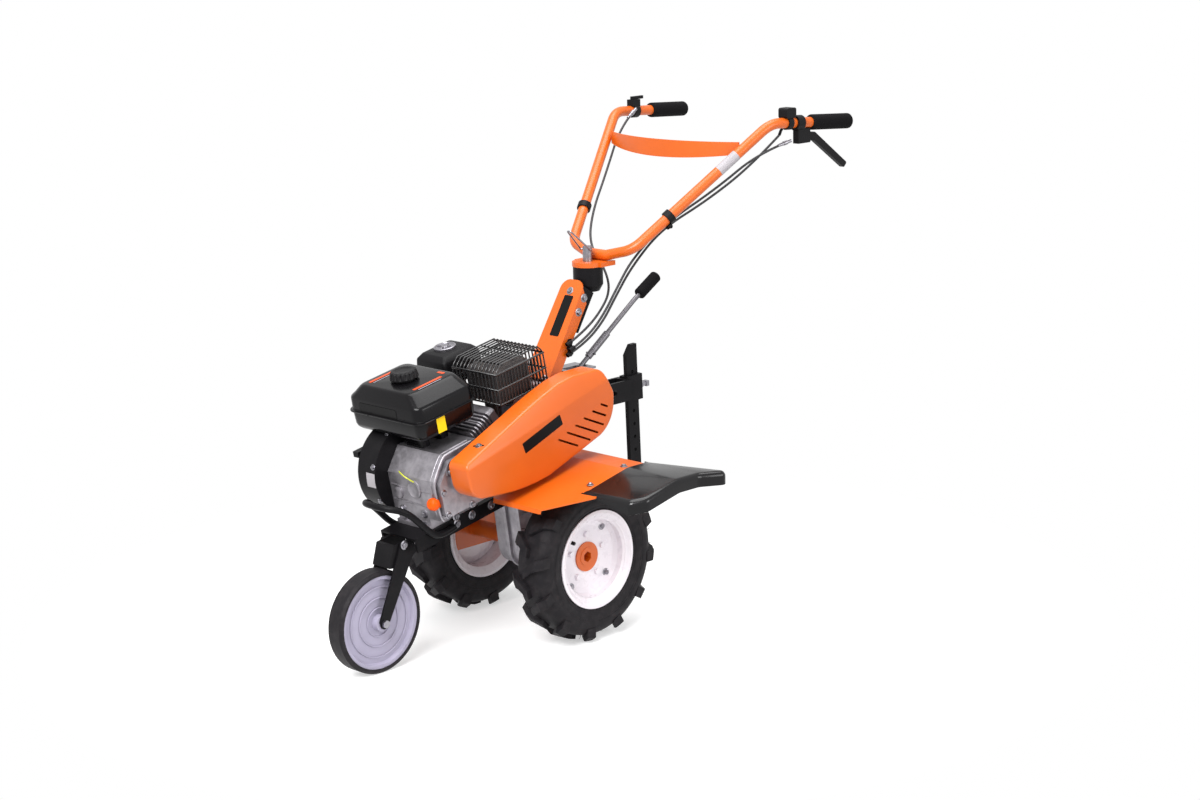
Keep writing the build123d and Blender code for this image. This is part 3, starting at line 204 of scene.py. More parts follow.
def foamed_rubber(name, code):
    """Closed-cell foam sleeve: a dull skin with open pores about 1 mm wide."""
    tree, surface = new_material(name)
    place = add_node(tree, "ShaderNodeTexCoord").outputs["Object"]
    # Real cells are under 0.5 mm; they are drawn at 1.2 mm so that they show.
    cells = add_node(tree, "ShaderNodeTexVoronoi", {"Vector": place, "Scale": 1.0 / (1.2 * MM)})
    pores_and_shade = between(tree, cells.outputs["Distance"], 0.1, 0.6)
    # Each pore is also painted at half the colour, as painted shade inside it.
    colour = mixed(tree, pores_and_shade, shaded(code, 0.5), linear(code))
    shader(tree, surface, colour, 0.8, bumped(tree, pores_and_shade, 0.25), IOR=1.5, Specular_IOR_Level=0.08)


def die_cast_aluminium(name, code):
    """Tumbled die casting: granular skin and slow grey clouds."""
    tree, surface = new_material(name)
    # The clouds and the grain dull the metal, so that it looks cast and not polished.
    clouds = between(tree, grain(tree, 28.0, detail=4.0, roughness=0.6), 0.35, 0.7)
    colour = mixed(tree, clouds, linear(code), shaded(code, 0.62))
    skin = bumped(tree, grain(tree, 1.3, detail=3.0), 0.12)
    gloss = between(tree, grain(tree, 9.0, detail=3.0), 0.3, 0.7, 0.38, 0.56)
    shader(tree, surface, colour, gloss, skin, Metallic=0.85)


def zinc_plated_steel(name, code="96949A", roughness=0.34):
    """Zinc plating on steel with its faint bluish passivation."""
    tree, surface = new_material(name)
    # The spangle mottles the reflections a little.
    spangle = between(tree, grain(tree, 6.0, detail=3.0), 0.35, 0.65)
    colour = mixed(tree, spangle, linear(code), shaded(code, 0.8))
    shader(tree, surface, colour, roughness, bumped(tree, grain(tree, 1.6), 0.008), Metallic=1.0)


def heat_darkened_steel(name):
    """Pressed muffler steel, browned and dulled by heat."""
    tree, surface = new_material(name)
    # Scale breaks the metal's shine into brown and blue-black patches.
    scale = between(tree, grain(tree, 18.0, detail=5.0, roughness=0.65), 0.35, 0.7)
    colour = mixed(tree, scale, linear(BROWNED_STEEL), linear(BLUED_SCALE))
    shader(tree, surface, colour, 0.55, bumped(tree, grain(tree, 1.6, detail=4.0), 0.1), Metallic=0.7)


def vacuum_formed_sheet(name, code):
    """Glossy sheet plastic drawn over a mould; it keeps long shallow waves."""
    tree, surface = new_material(name)
    # Sharp highlights wobble along the waves.
    waves = grain(tree, 45.0, detail=1.0)
    shader(tree, surface, linear(code), 0.2, bumped(tree, waves, 0.35), IOR=1.49,
           Specular_IOR_Level=0.25, Coat_Weight=0.2, Coat_Roughness=0.06)


def extruded_sheath(name, code):
    """Extruded PVC over a steel cable: smooth, slightly waxy."""
    tree, surface = new_material(name)
    # One soft highlight runs along the cable.
    shader(tree, surface, linear(code), 0.4, bumped(tree, grain(tree, 3.0), 0.03), IOR=1.53,
           Specular_IOR_Level=0.4)


def printed_vinyl(name, code):
    """Blank printed film with a clear lacquer over it."""
    tree, surface = new_material(name)
    # It is smoother than the paint round it, so that a blank label still shows as a label.
    drift = between(tree, grain(tree, 30.0), 0.4, 0.6)
    colour = mixed(tree, drift, linear(code), shaded(code, 0.95))
    shader(tree, surface, colour, 0.3, bumped(tree, grain(tree, 5.0), 0.02), IOR=1.5,
           Specular_IOR_Level=0.15)


# Which finish each node of the frame takes

FINISH_OF_SLOT = {
    "orange_enamel": "orange_powder_coat",
    "white_enamel": "white_rim_enamel",
    "black_enamel": "black_satin_paint",
    "tank_enamel": "tank_gloss_enamel",
    "tyre_rubber": "tyre_rubber_moulded",
    "band_rubber": "band_rubber_moulded",
    "foam_rubber": "grip_foam",
    "grey_plastic": "wheel_disc_grey_abs",
    "black_plastic": "black_nylon_moulded",
    "gloss_plastic": "flap_vacuum_formed",
    "orange_plastic": "orange_plug_plastic",
    "cast_aluminium": "engine_die_cast_aluminium",
    "zinc_steel": "zinc_plated_steel",
    "muffler_steel": "muffler_browned_steel",
    "cable_plastic": "cable_pvc_sheath",
}

# The selector rod is duller than the bolts that share its slot.
FINISH_OF_NODE = {"gear_lever": "zinc_plated_rod"}


class TractorFinishes(bpy.types.PropertyGroup):
    """Colours of the main finishes."""

    orange: bpy.props.StringProperty(
        name="Orange", description="Powder coat of frame, handlebar and covers, sRGB hex", default="CA5A0E")
    rim_white: bpy.props.StringProperty(
        name="Rim white", description="Enamel of the wheel rims, sRGB hex", default="E8E2E8")
    black: bpy.props.StringProperty(
        name="Black", description="Satin paint of rails and brackets, sRGB hex", default="100F11")
    disc_grey: bpy.props.StringProperty(
        name="Wheel grey", description="Plastic of the front wheel disc, sRGB hex", default="A7A2B6")
    aluminium: bpy.props.StringProperty(
        name="Aluminium", description="Die cast engine and gear case, sRGB hex", default="A8A4AA")


class TractorCounts(bpy.types.PropertyGroup):
    """How many bars and hairs the repeated pieces have."""

    guard_hoops: bpy.props.IntProperty(
        name="Guard hoops", description="Bars bent over the muffler guard", default=13, min=2)
    guard_spaces: bpy.props.IntProperty(
        name="Guard spaces", description="Spaces between the uprights on each side of the guard",
        default=16, min=2)
    mould_hairs: bpy.props.IntProperty(
        name="Mould hairs", description="Rubber hairs that the mould left on each tyre", default=44, min=0)


class TractorStage(bpy.types.PropertyGroup):
    """Camera and studio light."""

    azimuth: bpy.props.FloatProperty(
        name="Azimuth", description="Camera direction from the left side towards the front",
        default=math.radians(45.287), subtype="ANGLE")
    elevation: bpy.props.FloatProperty(
        name="Elevation", description="Camera height angle over its target",
        default=math.radians(12.992), subtype="ANGLE")
    roll: bpy.props.FloatProperty(
        name="Roll", description="Camera roll about its sight line",
        default=math.radians(-1.279), subtype="ANGLE")
    distance: bpy.props.FloatProperty(
        name="Distance", description="Camera to target", default=5.346, unit="LENGTH")
    target: bpy.props.FloatVectorProperty(
        name="Target", description="Point that the camera looks at",
        default=(0.1406, 0.2590, 0.5944), size=3, subtype="XYZ")
    lens: bpy.props.FloatProperty(
        name="Lens", description="Focal length on a 36 mm sensor, in mm", default=68.61)
    floor_size: bpy.props.FloatProperty(
        name="Floor size", description="Side of the square floor", default=60.0, unit="LENGTH")
    key_light: bpy.props.FloatProperty(
        name="Key light", description="Power of the key softbox in watts", default=190.0, unit="POWER")
    fill_light: bpy.props.FloatProperty(
        name="Fill light", description="Power of the fill softbox in watts", default=75.0, unit="POWER")
    top_light: bpy.props.FloatProperty(
        name="Top light", description="Power of the overhead softbox in watts", default=110.0, unit="POWER")
    surround: bpy.props.FloatProperty(
        name="Surround", description="Light of the white room on the object", default=0.42, min=0.0)


def finishes():
    """All finishes of the part by name, made once."""
    made = bpy.data.materials
    if "orange_powder_coat" in made:
        return made
    colours = bpy.context.scene.tractor_finishes
    powder_coated_steel("orange_powder_coat", colours.orange)
    powder_coated_steel("white_rim_enamel", colours.rim_white, roughness=0.28)
    satin_paint("black_satin_paint", colours.black)
    stoved_gloss_enamel("tank_gloss_enamel", "0B0A0C")
    stoved_gloss_enamel("guard_gloss_enamel", "0B0A0C", gleam=0.36)
    moulded_rubber("tyre_rubber_moulded", "181619")
    moulded_rubber("band_rubber_moulded", "1A181B", roughness=0.55)
    foamed_rubber("grip_foam", "100F11")
    moulded_plastic("wheel_disc_grey_abs", colours.disc_grey, roughness=0.38, grain_mm=2.0, depth_mm=0.03)
    moulded_plastic("black_nylon_moulded", "0F0E10")
    vacuum_formed_sheet("flap_vacuum_formed", "0B0A0C")
    moulded_plastic("orange_plug_plastic", "E85408", roughness=0.35)
    die_cast_aluminium("engine_die_cast_aluminium", colours.aluminium)
    zinc_plated_steel("zinc_plated_steel")
    zinc_plated_steel("zinc_plated_rod", "6C6A6E", roughness=0.45)
    heat_darkened_steel("muffler_browned_steel")
    extruded_sheath("cable_pvc_sheath", "161418")
    extruded_sheath("yellow_wire_sheath", "C8CC2E")
    # Near-black used as painted shade in slots and vents; it stands in for shade and is not a moulded part.
    moulded_plastic("painted_slot_shade", "060506", roughness=0.8)
    printed_vinyl("orange_vinyl", "C8481A")
    printed_vinyl("grey_vinyl", "8F8A93")
    printed_vinyl("black_vinyl", "080708")
    printed_vinyl("yellow_vinyl", "F2CE1E")
    printed_vinyl("pale_grey_vinyl", "A29EA2")
    return made


def dress_cad_nodes():
    """Gives every node of the frame its own finish, or else that of its material slot."""
    made = finishes()
    slot_of_node = {part["node"]: part["material_slot"] for part in frame["record"]["subparts"]}
    for name, thing in cad_nodes.items():
        thing.data.materials.clear()
        finish = FINISH_OF_NODE.get(name, FINISH_OF_SLOT[slot_of_node[name]])
        thing.data.materials.append(made[finish])


# Places are in mm: the machine's from the floor under its drive axle, the engine's from its own origin

MACHINE = Matrix.Translation((AXLE_X, 0.0, 0.0)) @ Matrix.Scale(MM, 4)
NOSE_DOWN = math.radians(11.0)
ENGINE_ORIGIN = (288.0, 0.0, 334.75)
ENGINE = MACHINE @ Matrix.Translation(ENGINE_ORIGIN) @ Matrix.Rotation(NOSE_DOWN, 4, "Y")
CYLINDER_ORIGIN = (-88.3, 8.0, 118.0)
CYLINDER_LEAN = math.radians(65.0)
CYLINDER = ENGINE @ Matrix.Translation(CYLINDER_ORIGIN) @ Matrix.Rotation(-CYLINDER_LEAN, 4, "Y")
# Lays an outline into the machine's side view, with its heights out to the left
SIDE_VIEW = Matrix(((1, 0, 0, 0), (0, 0, 1, 0), (0, 1, 0, 0), (0, 0, 0, 1)))
SIDE_NAMES = {1: "left", -1: "right"}


def aimed(origin, direction, spin=0.0):
    """A frame at origin whose z axis points along direction, turned about it by spin degrees."""
    turn = Vector(direction).to_track_quat("Z", "Y").to_matrix().to_4x4()
    return Matrix.Translation(origin) @ turn @ Matrix.Rotation(math.radians(spin), 4, "Z")


def on_side(origin, turn):
    """A frame on a left side face: x along the face at an angle from +X up to +Z, z out to the left."""
    along, across = math.cos(turn), math.sin(turn)
    turned = Matrix(((along, across, 0), (0, 0, 1), (across, -along, 0)))
    return Matrix.Translation(origin) @ turned.to_4x4()


def lathe(mesh, profile, place, steps):
    """Turns a profile of (radius, height) points about the z axis of place."""
    rings = []
    for radius, height in profile:
        if radius <= 0.0:
            rings.append([mesh.verts.new(place @ Vector((0.0, 0.0, height)))])
            continue
        turns = [math.tau * number / steps for number in range(steps)]
        ring = [Vector((radius * math.cos(turn), radius * math.sin(turn), height)) for turn in turns]
        rings.append([mesh.verts.new(place @ point) for point in ring])
    for low, high in zip(rings, rings[1:]):
        for number in range(steps):
            after = (number + 1) % steps
            corners = [low[number % len(low)], low[after % len(low)],
                       high[after % len(high)], high[number % len(high)]]
            corners = list(dict.fromkeys(corners))
            if len(corners) > 2:
                mesh.faces.new(corners)


# Height of a bolt's washer and depth of the dish in its head
WASHER = 1.4
BOLT_DISH = 0.7


def bolt(mesh, place, across, height):
    """Hexagonal bolt head on its washer, with the dished top of a cold-forged head."""
    rim = across * 0.9
    washer = [(0, 0), (rim, 0), (rim, WASHER - 0.3), (across * 0.86, WASHER), (0, WASHER)]
    lathe(mesh, washer, place, 24)
    radius = across / 2 / math.cos(math.radians(30.0))
    head = [(radius * 0.9, WASHER), (radius, WASHER + 0.3), (radius, height - 0.8), (radius * 0.88, height),
            (radius * 0.62, height), (radius * 0.5, height - BOLT_DISH), (0, height - BOLT_DISH)]
    lathe(mesh, head, place, 6)


def prism(mesh, outline, place, thickness, bevel):
    """A flat piece from an (x, y) outline: straight sides and a bevelled upper edge."""
    middle = Vector((sum(x for x, y in outline), sum(y for x, y in outline), 0.0)) / len(outline)
    reach = max((Vector((x, y, 0.0)) - middle).length for x, y in outline)
    layers = []
    for height, drawn_in in ((0.0, 0.0), (thickness - bevel, 0.0), (thickness, bevel)):
        share = 1.0 - drawn_in / reach
        points = [middle + (Vector((x, y, 0.0)) - middle) * share for x, y in outline]
        layers.append([mesh.verts.new(place @ (point + Vector((0.0, 0.0, height)))) for point in points])
    count = len(outline)
    for low, high in zip(layers, layers[1:]):
        for number in range(count):
            after = (number + 1) % count
            mesh.faces.new([low[number], low[after], high[after], high[number]])
    mesh.faces.new(layers[-1])
    mesh.faces.new(list(reversed(layers[0])))


def rounded(width, height, radius, steps=5):
    """A rectangle with round corners about the origin."""
    outline = []
    for sx, sy, start in ((1, 1, 0), (-1, 1, 90), (-1, -1, 180), (1, -1, 270)):
        for number in range(steps + 1):
            turn = math.radians(start + 90.0 * number / steps)
            x = sx * (width / 2 - radius) + radius * math.cos(turn)
            y = sy * (height / 2 - radius) + radius * math.sin(turn)
            outline.append((x, y))
    return outline


def swept(mesh, line, radius, steps, closed=False):
    """A round bar along a line of points, with flat ends."""
    points = [Vector(point) for point in line]
    count = len(points)
    normal = None
    rings = []
    for number, point in enumerate(points):
        before = points[number - 1] if closed or number else point
        after = points[(number + 1) % count] if closed or number < count - 1 else point
        along = (after - before).normalized()
        if normal is None:
            normal = along.orthogonal().normalized()
        normal = (normal - along * normal.dot(along)).normalized()
        side = along.cross(normal)
        turns = [math.tau * step / steps for step in range(steps)]
        spokes = [normal * math.cos(turn) + side * math.sin(turn) for turn in turns]
        rings.append([mesh.verts.new(point + spoke * radius) for spoke in spokes])
    pairs = list(zip(rings, rings[1:]))
    if closed:
        pairs.append((rings[-1], rings[0]))
    for low, high in pairs:
        for step in range(steps):
            after = (step + 1) % steps
            mesh.faces.new([low[step], low[after], high[after], high[step]])
    if not closed:
        mesh.faces.new(list(reversed(rings[0])))
        mesh.faces.new(rings[-1])


def smooth_line(points):
    """Points read from the NURBS spline that has the given control points."""
    curve = bpy.data.curves.new("route", "CURVE")
    curve.dimensions = "3D"
    curve.resolution_u = 8
    spline = curve.splines.new("NURBS")
    spline.points.add(len(points) - 1)
    for control, point in zip(spline.points, points):
        control.co = (*point, 1.0)
    spline.order_u = 3
    spline.use_endpoint_u = True
    carrier = bpy.data.objects.new("route", curve)
    read = bpy.data.meshes.new_from_object(carrier)
    line = [vertex.co.copy() for vertex in read.vertices]
    bpy.data.objects.remove(carrier)
    bpy.data.curves.remove(curve)
    bpy.data.meshes.remove(read)
    return line


def add_piece(name, mesh, slot, body="chassis", place=MACHINE, smooth=40.0, finish=None):
    """Makes an object of a bmesh, with the finish of its record slot or the given finish, and the body that
    it rides on.
    """
    mesh.transform(place)
    bmesh.ops.recalc_face_normals(mesh, faces=mesh.faces)
    data = bpy.data.meshes.new(name)
    mesh.to_mesh(data)
    mesh.free()
    thing = bpy.data.objects.new(name, data)
    bpy.context.scene.collection.objects.link(thing)
    data.materials.append(finishes()[finish or FINISH_OF_SLOT[slot]])
    data.shade_smooth()
    data.set_sharp_from_angle(angle=math.radians(smooth))
    if body:
        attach(thing, body)
    return thing


def thickened(thing, thickness):
    """Gives a skin the thickness of its sheet, inwards, as a modifier."""
    sheet = thing.modifiers.new("sheet", "SOLIDIFY")
    sheet.thickness = thickness * MM
    sheet.offset = -1.0


def settled(thing):
    """Applies an object's modifiers to its mesh."""
    depsgraph = bpy.context.evaluated_depsgraph_get()
    read = bpy.data.meshes.new_from_object(thing.evaluated_get(depsgraph))
    thing.modifiers.clear()
    thing.data = read
    read.shade_smooth()
    read.set_sharp_from_angle(angle=math.radians(30.0))


def plate(mesh, size, place, thickness=0.5, bevel=0.2):
    """A flat plate with round corners, such as a blank label; size is its width, height and corner."""
    prism(mesh, rounded(*size), place, thickness, bevel)


def raised_ring(mesh, place, radius, half_widths, heights):
    """A low ring with sloping sides; half widths and heights are its foot's and its top's."""
    (foot_half, top_half), (foot, top) = half_widths, heights
    lathe(mesh, [(radius - foot_half, foot), (radius - top_half, top),
                 (radius + top_half, top), (radius + foot_half, foot)], place, 72)


def ring_of_bolts(mesh, centre, axis, radius, count, start, **size):
    """Bolts on a circle about an axis along y, with their heads out along the axis."""
    for number in range(count):
        turn = math.radians(start + 360.0 * number / count)
        x = centre[0] + radius * math.cos(turn)
        z = centre[2] + radius * math.sin(turn)
        bolt(mesh, aimed((x, centre[1], z), (0, axis, 0), spin=17.0 * number), **size)


def cut_along(mesh, point, normal):
    """Cuts the faces of a mesh along a plane, so that they can bend there."""
    geometry = list(mesh.verts) + list(mesh.edges) + list(mesh.faces)
    bmesh.ops.bisect_plane(mesh, geom=geometry, plane_co=point, plane_no=normal)


# The share of an edge that the rounding of one corner may take
CORNER_REACH = 0.48


def softened(points, radii, steps=6):
    """An outline through (x, y) points whose corners are rounded by the given radii."""
    outline = []
    count = len(points)
    for number, radius in enumerate(radii):
        before = Vector(points[number - 1])
        corner = Vector(points[number])
        after = Vector(points[(number + 1) % count])
        back = (before - corner).normalized()
        ahead = (after - corner).normalized()
        half = back.angle(ahead) / 2
        if radius <= 0.0 or half > math.radians(88.0):
            outline.append(tuple(corner))
            continue
        longest = CORNER_REACH * min((before - corner).length, (after - corner).length)
        run = min(radius / math.tan(half), longest)
        radius = run * math.tan(half)
        centre = corner + (back + ahead).normalized() * radius / math.sin(half)
        first = corner + back * run - centre
        last = corner + ahead * run - centre
        turn = first.angle_signed(last)
        for step in range(steps + 1):
            angle = -turn * step / steps
            x = first.x * math.cos(angle) - first.y * math.sin(angle)
            y = first.x * math.sin(angle) + first.y * math.cos(angle)
            outline.append((centre.x + x, centre.y + y))
    return outline


def inset(outline, distance):
    """An anticlockwise outline drawn in by a distance along its corners' bisectors."""
    moved = []
    count = len(outline)
    for number, point in enumerate(outline):
        here = Vector(point)
        come = (here - Vector(outline[number - 1])).normalized()
        go = (Vector(outline[(number + 1) % count]) - here).normalized()
        inward = Vector((-come.y - go.y, come.x + go.x)).normalized()
        share = max(0.4, inward.dot(Vector((-go.y, go.x))))
        moved.append(tuple(here + inward * distance / share))
    return moved


def rounding(radius, steps=4):
    """(inset, drop) pairs of a rounded edge, from its side up to its top."""
    turns = [math.pi / 2 * step / steps for step in range(steps + 1)]
    return [(radius * (1 - math.cos(turn)), radius * (1 - math.sin(turn))) for turn in turns]


def stack(mesh, layers, place=None, close_low=True):
    """Joins outlines of equal length at their heights into one skin, closed on top."""
    place = place or Matrix.Identity(4)
    rings = []
    for outline, height in layers:
        rings.append([mesh.verts.new(place @ Vector((x, y, height))) for x, y in outline])
    count = len(rings[0])
    for low, high in zip(rings, rings[1:]):
        for number in range(count):
            after = (number + 1) % count
            mesh.faces.new([low[number], low[after], high[after], high[number]])
    if close_low:
        mesh.faces.new(list(reversed(rings[0])))
    mesh.faces.new(rings[-1])


# Belt cover, in the machine's side view and from its inner to its outer side

COVER_INNER = 121.0
COVER_OUTER = 182.0
COVER_EDGE = 6.0
COVER_SHEET = 2.0
COVER_BACK = 2.6
COVER_REAR = ((-2.0, 640.0), (-92.0, 644.0), (-129.0, 580.0), (-127.0, 545.0))
COVER_KEEL = ((93.0, 417.0), (130.0, 409.6), (170.0, 404.6), (205.0, 402.5), (250.0, 403.2))
COVER_TOP = ((-2.0, 640.0), (45.0, 629.5), (95.0, 610.5), (150.0, 587.0), (200.0, 563.5), (260.0, 535.5),
             (310.0, 512.5))
# Above this line the side leans in, with a soft bend this wide to each side of the line
COVER_CREASE = ((323.0, 487.0), (-71.0, 604.0))
COVER_BEND = 3.0
COVER_LEAN = math.radians(13.0)
# Louvre slots: the middle of the first, the step to the next, and their lengths, width and slope
SLOT_FIRST = (-80.0, 559.0)
SLOT_STEP = (28.8, -12.0)
SLOT_LENGTHS = (28.0, 52.0, 74.0, 84.0, 86.0, 72.0)
SLOT_WIDTH = 5.0
SLOT_SLOPE = math.radians(23.0)


def cover_outline():
    """Side view of the belt cover: a round rear, a bowed top and a blunt front end."""
    rear = softened(COVER_REAR, [0, 32.0, 40.0, 0])[1:-1]
    centre, radius = Vector((-40.0, 560.0)), 88.0
    turns = [math.radians(turn) for turn in range(190, 250, 6)]
    rear += [centre + radius * Vector((math.cos(turn), math.sin(turn))) for turn in turns]
    front = softened([COVER_KEEL[-1], (337.0, 407.0), (356.0, 491.0), COVER_TOP[-1]], [0, 46.0, 18.0, 0], 8)
    return [tuple(point) for point in rear] + list(COVER_KEEL) + front[1:-1] + list(reversed(COVER_TOP))


def slot_cutter():
    """An object in the shape of all louvre slots, to be cut out of the cover."""
    mesh = bmesh.new()
    for number, length in enumerate(SLOT_LENGTHS):
        x, z = (first + number * step for first, step in zip(SLOT_FIRST, SLOT_STEP))
        middle = Matrix.Translation((x, COVER_OUTER, z)) @ Matrix.Rotation(-SLOT_SLOPE, 4, "Y")
        place = middle @ Matrix.Translation((-length / 2, 12.0, 0.0)) @ Matrix.Rotation(math.pi / 2, 4, "X")
        prism(mesh, rounded(length, SLOT_WIDTH, SLOT_WIDTH / 2 - 0.2, steps=3), place, 30.0, 0.0)
    mesh.transform(MACHINE)
    bmesh.ops.recalc_face_normals(mesh, faces=mesh.faces)
    data = bpy.data.meshes.new("slots")
    mesh.to_mesh(data)
    mesh.free()
    cutter = bpy.data.objects.new("slots", data)
    bpy.context.scene.collection.objects.link(cutter)
    return cutter


def belt_cover_form():
    """Pressed belt cover with a creased side, louvre slots and its back plate."""
    mesh = bmesh.new()
    outline = cover_outline()
    layers = [(outline, COVER_INNER)]
    layers += [(inset(outline, near), COVER_OUTER - drop) for near, drop in rounding(COVER_EDGE)]
    stack(mesh, layers, SIDE_VIEW, close_low=False)
    front, rear = (Vector((x, 0.0, z)) for x, z in COVER_CREASE)
    along = (rear - front).normalized()
    above = Vector((along.z, 0.0, -along.x))
    for shift in (-COVER_BEND, 0.0, COVER_BEND):
        cut_along(mesh, front + above * shift, above)
    for vertex in mesh.verts:
        rise = (vertex.co - front).dot(above)
        if vertex.co.y > COVER_INNER + 20.0 and rise > -COVER_BEND - 0.5:
            lean = rise if rise > COVER_BEND else (rise + COVER_BEND) ** 2 / (4 * COVER_BEND)
            vertex.co.y -= lean * math.tan(COVER_LEAN)
    cover = add_piece("belt_cover_pressing", mesh, "orange_enamel", body=None, smooth=30.0)
    thickened(cover, COVER_SHEET)
    cutter = slot_cutter()
    cut = cover.modifiers.new("slots", "BOOLEAN")
    cut.operation = "DIFFERENCE"
    cut.object = cutter
    settled(cover)
    bpy.data.objects.remove(cutter)
    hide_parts("belt_cover")
    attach(cover, "chassis")
    back = bmesh.new()
    inside = inset(outline, 1.0)
    stack(back, [(inside, COVER_INNER - COVER_BACK), (inside, COVER_INNER + 0.2)], SIDE_VIEW)
    back_plate = add_piece("belt_cover_back_plate", back, "orange_enamel")
    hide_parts("belt_cover_back")


def cover_details():
    """The screw of the belt cover, painted shade for the slot that it sits in, and a blank label."""
    screws = bmesh.new()
    top = aimed((288.0, 150.0, 522.6), (0.41, 0.0, 0.91), spin=20.0)
    bolt(screws, top, across=9.0, height=4.5)
    add_piece("cover_screws", screws, "zinc_steel")
    # A near-black plate round the screw is painted shade standing in for the slot's opening.
    slot = bmesh.new()
    plate(slot, (30.0, 5.0, 2.4), top)
    add_piece("cover_screw_slot_shade", slot, "black_plastic", finish="painted_slot_shade")
    label = bmesh.new()
    place = on_side((114.0, COVER_OUTER - 0.1, 522.5), math.radians(159.0))
    plate(label, (132.0, 27.0, 2.0), place, 0.6)
    add_piece("cover_blank_label", label, "black_plastic", finish="black_vinyl")


# Fuel tank and cap, in the engine's own frame

TANK_MIDDLE = (-27.0, -49.0)
TANK_SIZE = (180.0, 252.0)
TANK_LOW, TANK_SEAM, TANK_EAVES, TANK_ROOF = 213.5, 262.0, 299.0, 326.0
TANK_FOOT = (24.0, 60.0, 4.0)
# Printed film lies on the tank's roof; each stripe has its middle and its length
ROOF_FILM = TANK_ROOF + 0.2
TANK_STRIPES = ((-13.0, -119.0, 86.0), (-22.0, 27.0, 88.0))
TANK_PALE_LINES = ((-10.0, -108.0, 74.0), (-20.0, 38.0, 72.0))
CAP_MIDDLE = (-19.0, -49.0)
CAP_FLUTES = 16
CAP_POINTS = 128


def tank_form():
    """Pressed tank: a tapered lower shell, a flange along the seam and a roof with sloping sides."""
    low, seam, eaves, roof = TANK_LOW, TANK_SEAM, TANK_EAVES, TANK_ROOF
    # Each level: drawn in at the ends, drawn in at the sides, corner radius and height
    levels = (
        (16.0, 16.0, 16.0, low), (11.0, 11.0, 18.0, low + 1.2), (4.0, 4.0, 22.0, low + 8.0),
        (1.0, 1.0, 24.0, low + 16.0), (0.0, 0.0, 24.0, seam - 4.0), (-1.0, -1.0, 24.0, seam - 2.6),
        (-5.5, -5.5, 28.0, seam - 1.8), (-6.0, -6.0, 28.0, seam), (-5.5, -5.5, 28.0, seam + 1.8),
        (-1.0, -1.0, 24.0, seam + 2.6), (0.0, 0.0, 24.0, seam + 4.0), (0.5, 0.5, 24.0, eaves - 7.0),
        (1.4, 2.2, 24.0, eaves - 2.5), (3.2, 5.6, 24.0, eaves + 0.8), (6.4, 12.5, 24.0, eaves + 6.5),
        (13.0, 28.0, 22.0, roof - 6.0), (15.6, 33.2, 20.0, roof - 2.6), (18.6, 38.0, 18.0, roof - 0.7),
        (22.5, 43.0, 16.0, roof))
    length, width = TANK_SIZE
    layers = [(rounded(length - 2 * ends, width - 2 * sides, corner, steps=6), height)
              for ends, sides, corner, height in levels]
    mesh = bmesh.new()
    stack(mesh, layers, Matrix.Translation((*TANK_MIDDLE, 0.0)))
    for x in (-52.0, 6.0):
        plate(mesh, TANK_FOOT, Matrix.Translation((x, -14.0, 176.4)), 40.0, 0.6)
    tank = add_piece("fuel_tank_pressing", mesh, "tank_enamel", place=ENGINE, smooth=28.0)
    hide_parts("fuel_tank")
    rivets = bmesh.new()
    for x, y in ((-40.0, 80.5), (20.0, 80.5), (66.5, -100.0), (66.5, 20.0), (-40.0, -178.5)):
        rivet = [(0, -2.4), (3.0, -2.4), (3.4, 2.2), (0, 2.6)]
        lathe(rivets, rivet, Matrix.Translation((x, y, seam)), 12)
    add_piece("tank_flange_rivets", rivets, "tank_enamel", place=ENGINE)


def fluted(radius, depth):
    """A circle of points with the cap's grip flutes, cut in by depth."""
    points = []
    for number in range(CAP_POINTS):
        turn = math.tau * number / CAP_POINTS
        wave = 0.5 + 0.5 * math.cos(CAP_FLUTES * turn)
        reach = radius - depth * (1.0 - wave ** 0.5)
        points.append((reach * math.cos(turn), reach * math.sin(turn)))
    return points


def cap_form():
    """Moulded fuel cap with grip flutes, on the tank's neck."""
    # Each level: radius, depth of the flutes and height
    levels = (
        (26.0, 0.0, 0.0), (26.0, 0.0, 5.0), (34.0, 0.0, 6.0), (34.5, 0.4, 8.0), (34.0, 3.4, 10.0),
        (32.4, 3.4, 20.0), (30.4, 2.6, 22.6), (27.5, 1.0, 23.8), (20.0, 0.0, 24.0), (18.5, 0.0, 23.0),
        (8.0, 0.0, 22.8))
    mesh = bmesh.new()
    layers = [(fluted(radius, depth), height) for radius, depth, height in levels]
    stack(mesh, layers, Matrix.Translation((*CAP_MIDDLE, TANK_ROOF - 0.5)))
    cap = add_piece("fuel_cap_moulding", mesh, "black_plastic", place=ENGINE, smooth=50.0)
    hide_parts("fuel_cap")


def tank_details():
    """Plain stripes and blank labels of the tank."""
    stripes = bmesh.new()
    for x, y, length in TANK_STRIPES:
        plate(stripes, (length, 8.5, 2.0), Matrix.Translation((x, y, ROOF_FILM)))
    plate(stripes, (8.0, 22.0, 2.0), Matrix.Translation((-84.0, 6.0, ROOF_FILM)), 0.4)
    add_piece("tank_stripes", stripes, "orange_plastic", place=ENGINE, finish="orange_vinyl")
    thin = bmesh.new()
    for x, y, length in TANK_PALE_LINES:
        plate(thin, (length, 3.0, 1.2), Matrix.Translation((x, y, ROOF_FILM)), 0.4)
    add_piece("tank_pale_lines", thin, "grey_plastic", place=ENGINE, finish="grey_vinyl")
    label = bmesh.new()
    plate(label, (132.0, 30.0, 4.0), aimed((63.2, -66.0, 272.0), (1, 0, 0)), 0.6, 0.3)
    add_piece("tank_blank_label", label, "black_plastic", place=ENGINE, finish="black_vinyl")
    note = bmesh.new()
    plate(note, (36.0, 26.0, 1.0), aimed((0.0, 77.2, 240.0), (0, 1, 0), spin=90.0))
    add_piece("tank_blank_note", note, "orange_plastic", place=ENGINE, finish="yellow_vinyl")


# Air cleaner, in the engine's own frame

CLEANER_PLACE = (-226.0, -131.0, 240.0)
CLEANER_SIZE = (124.0, 110.0, 76.0)


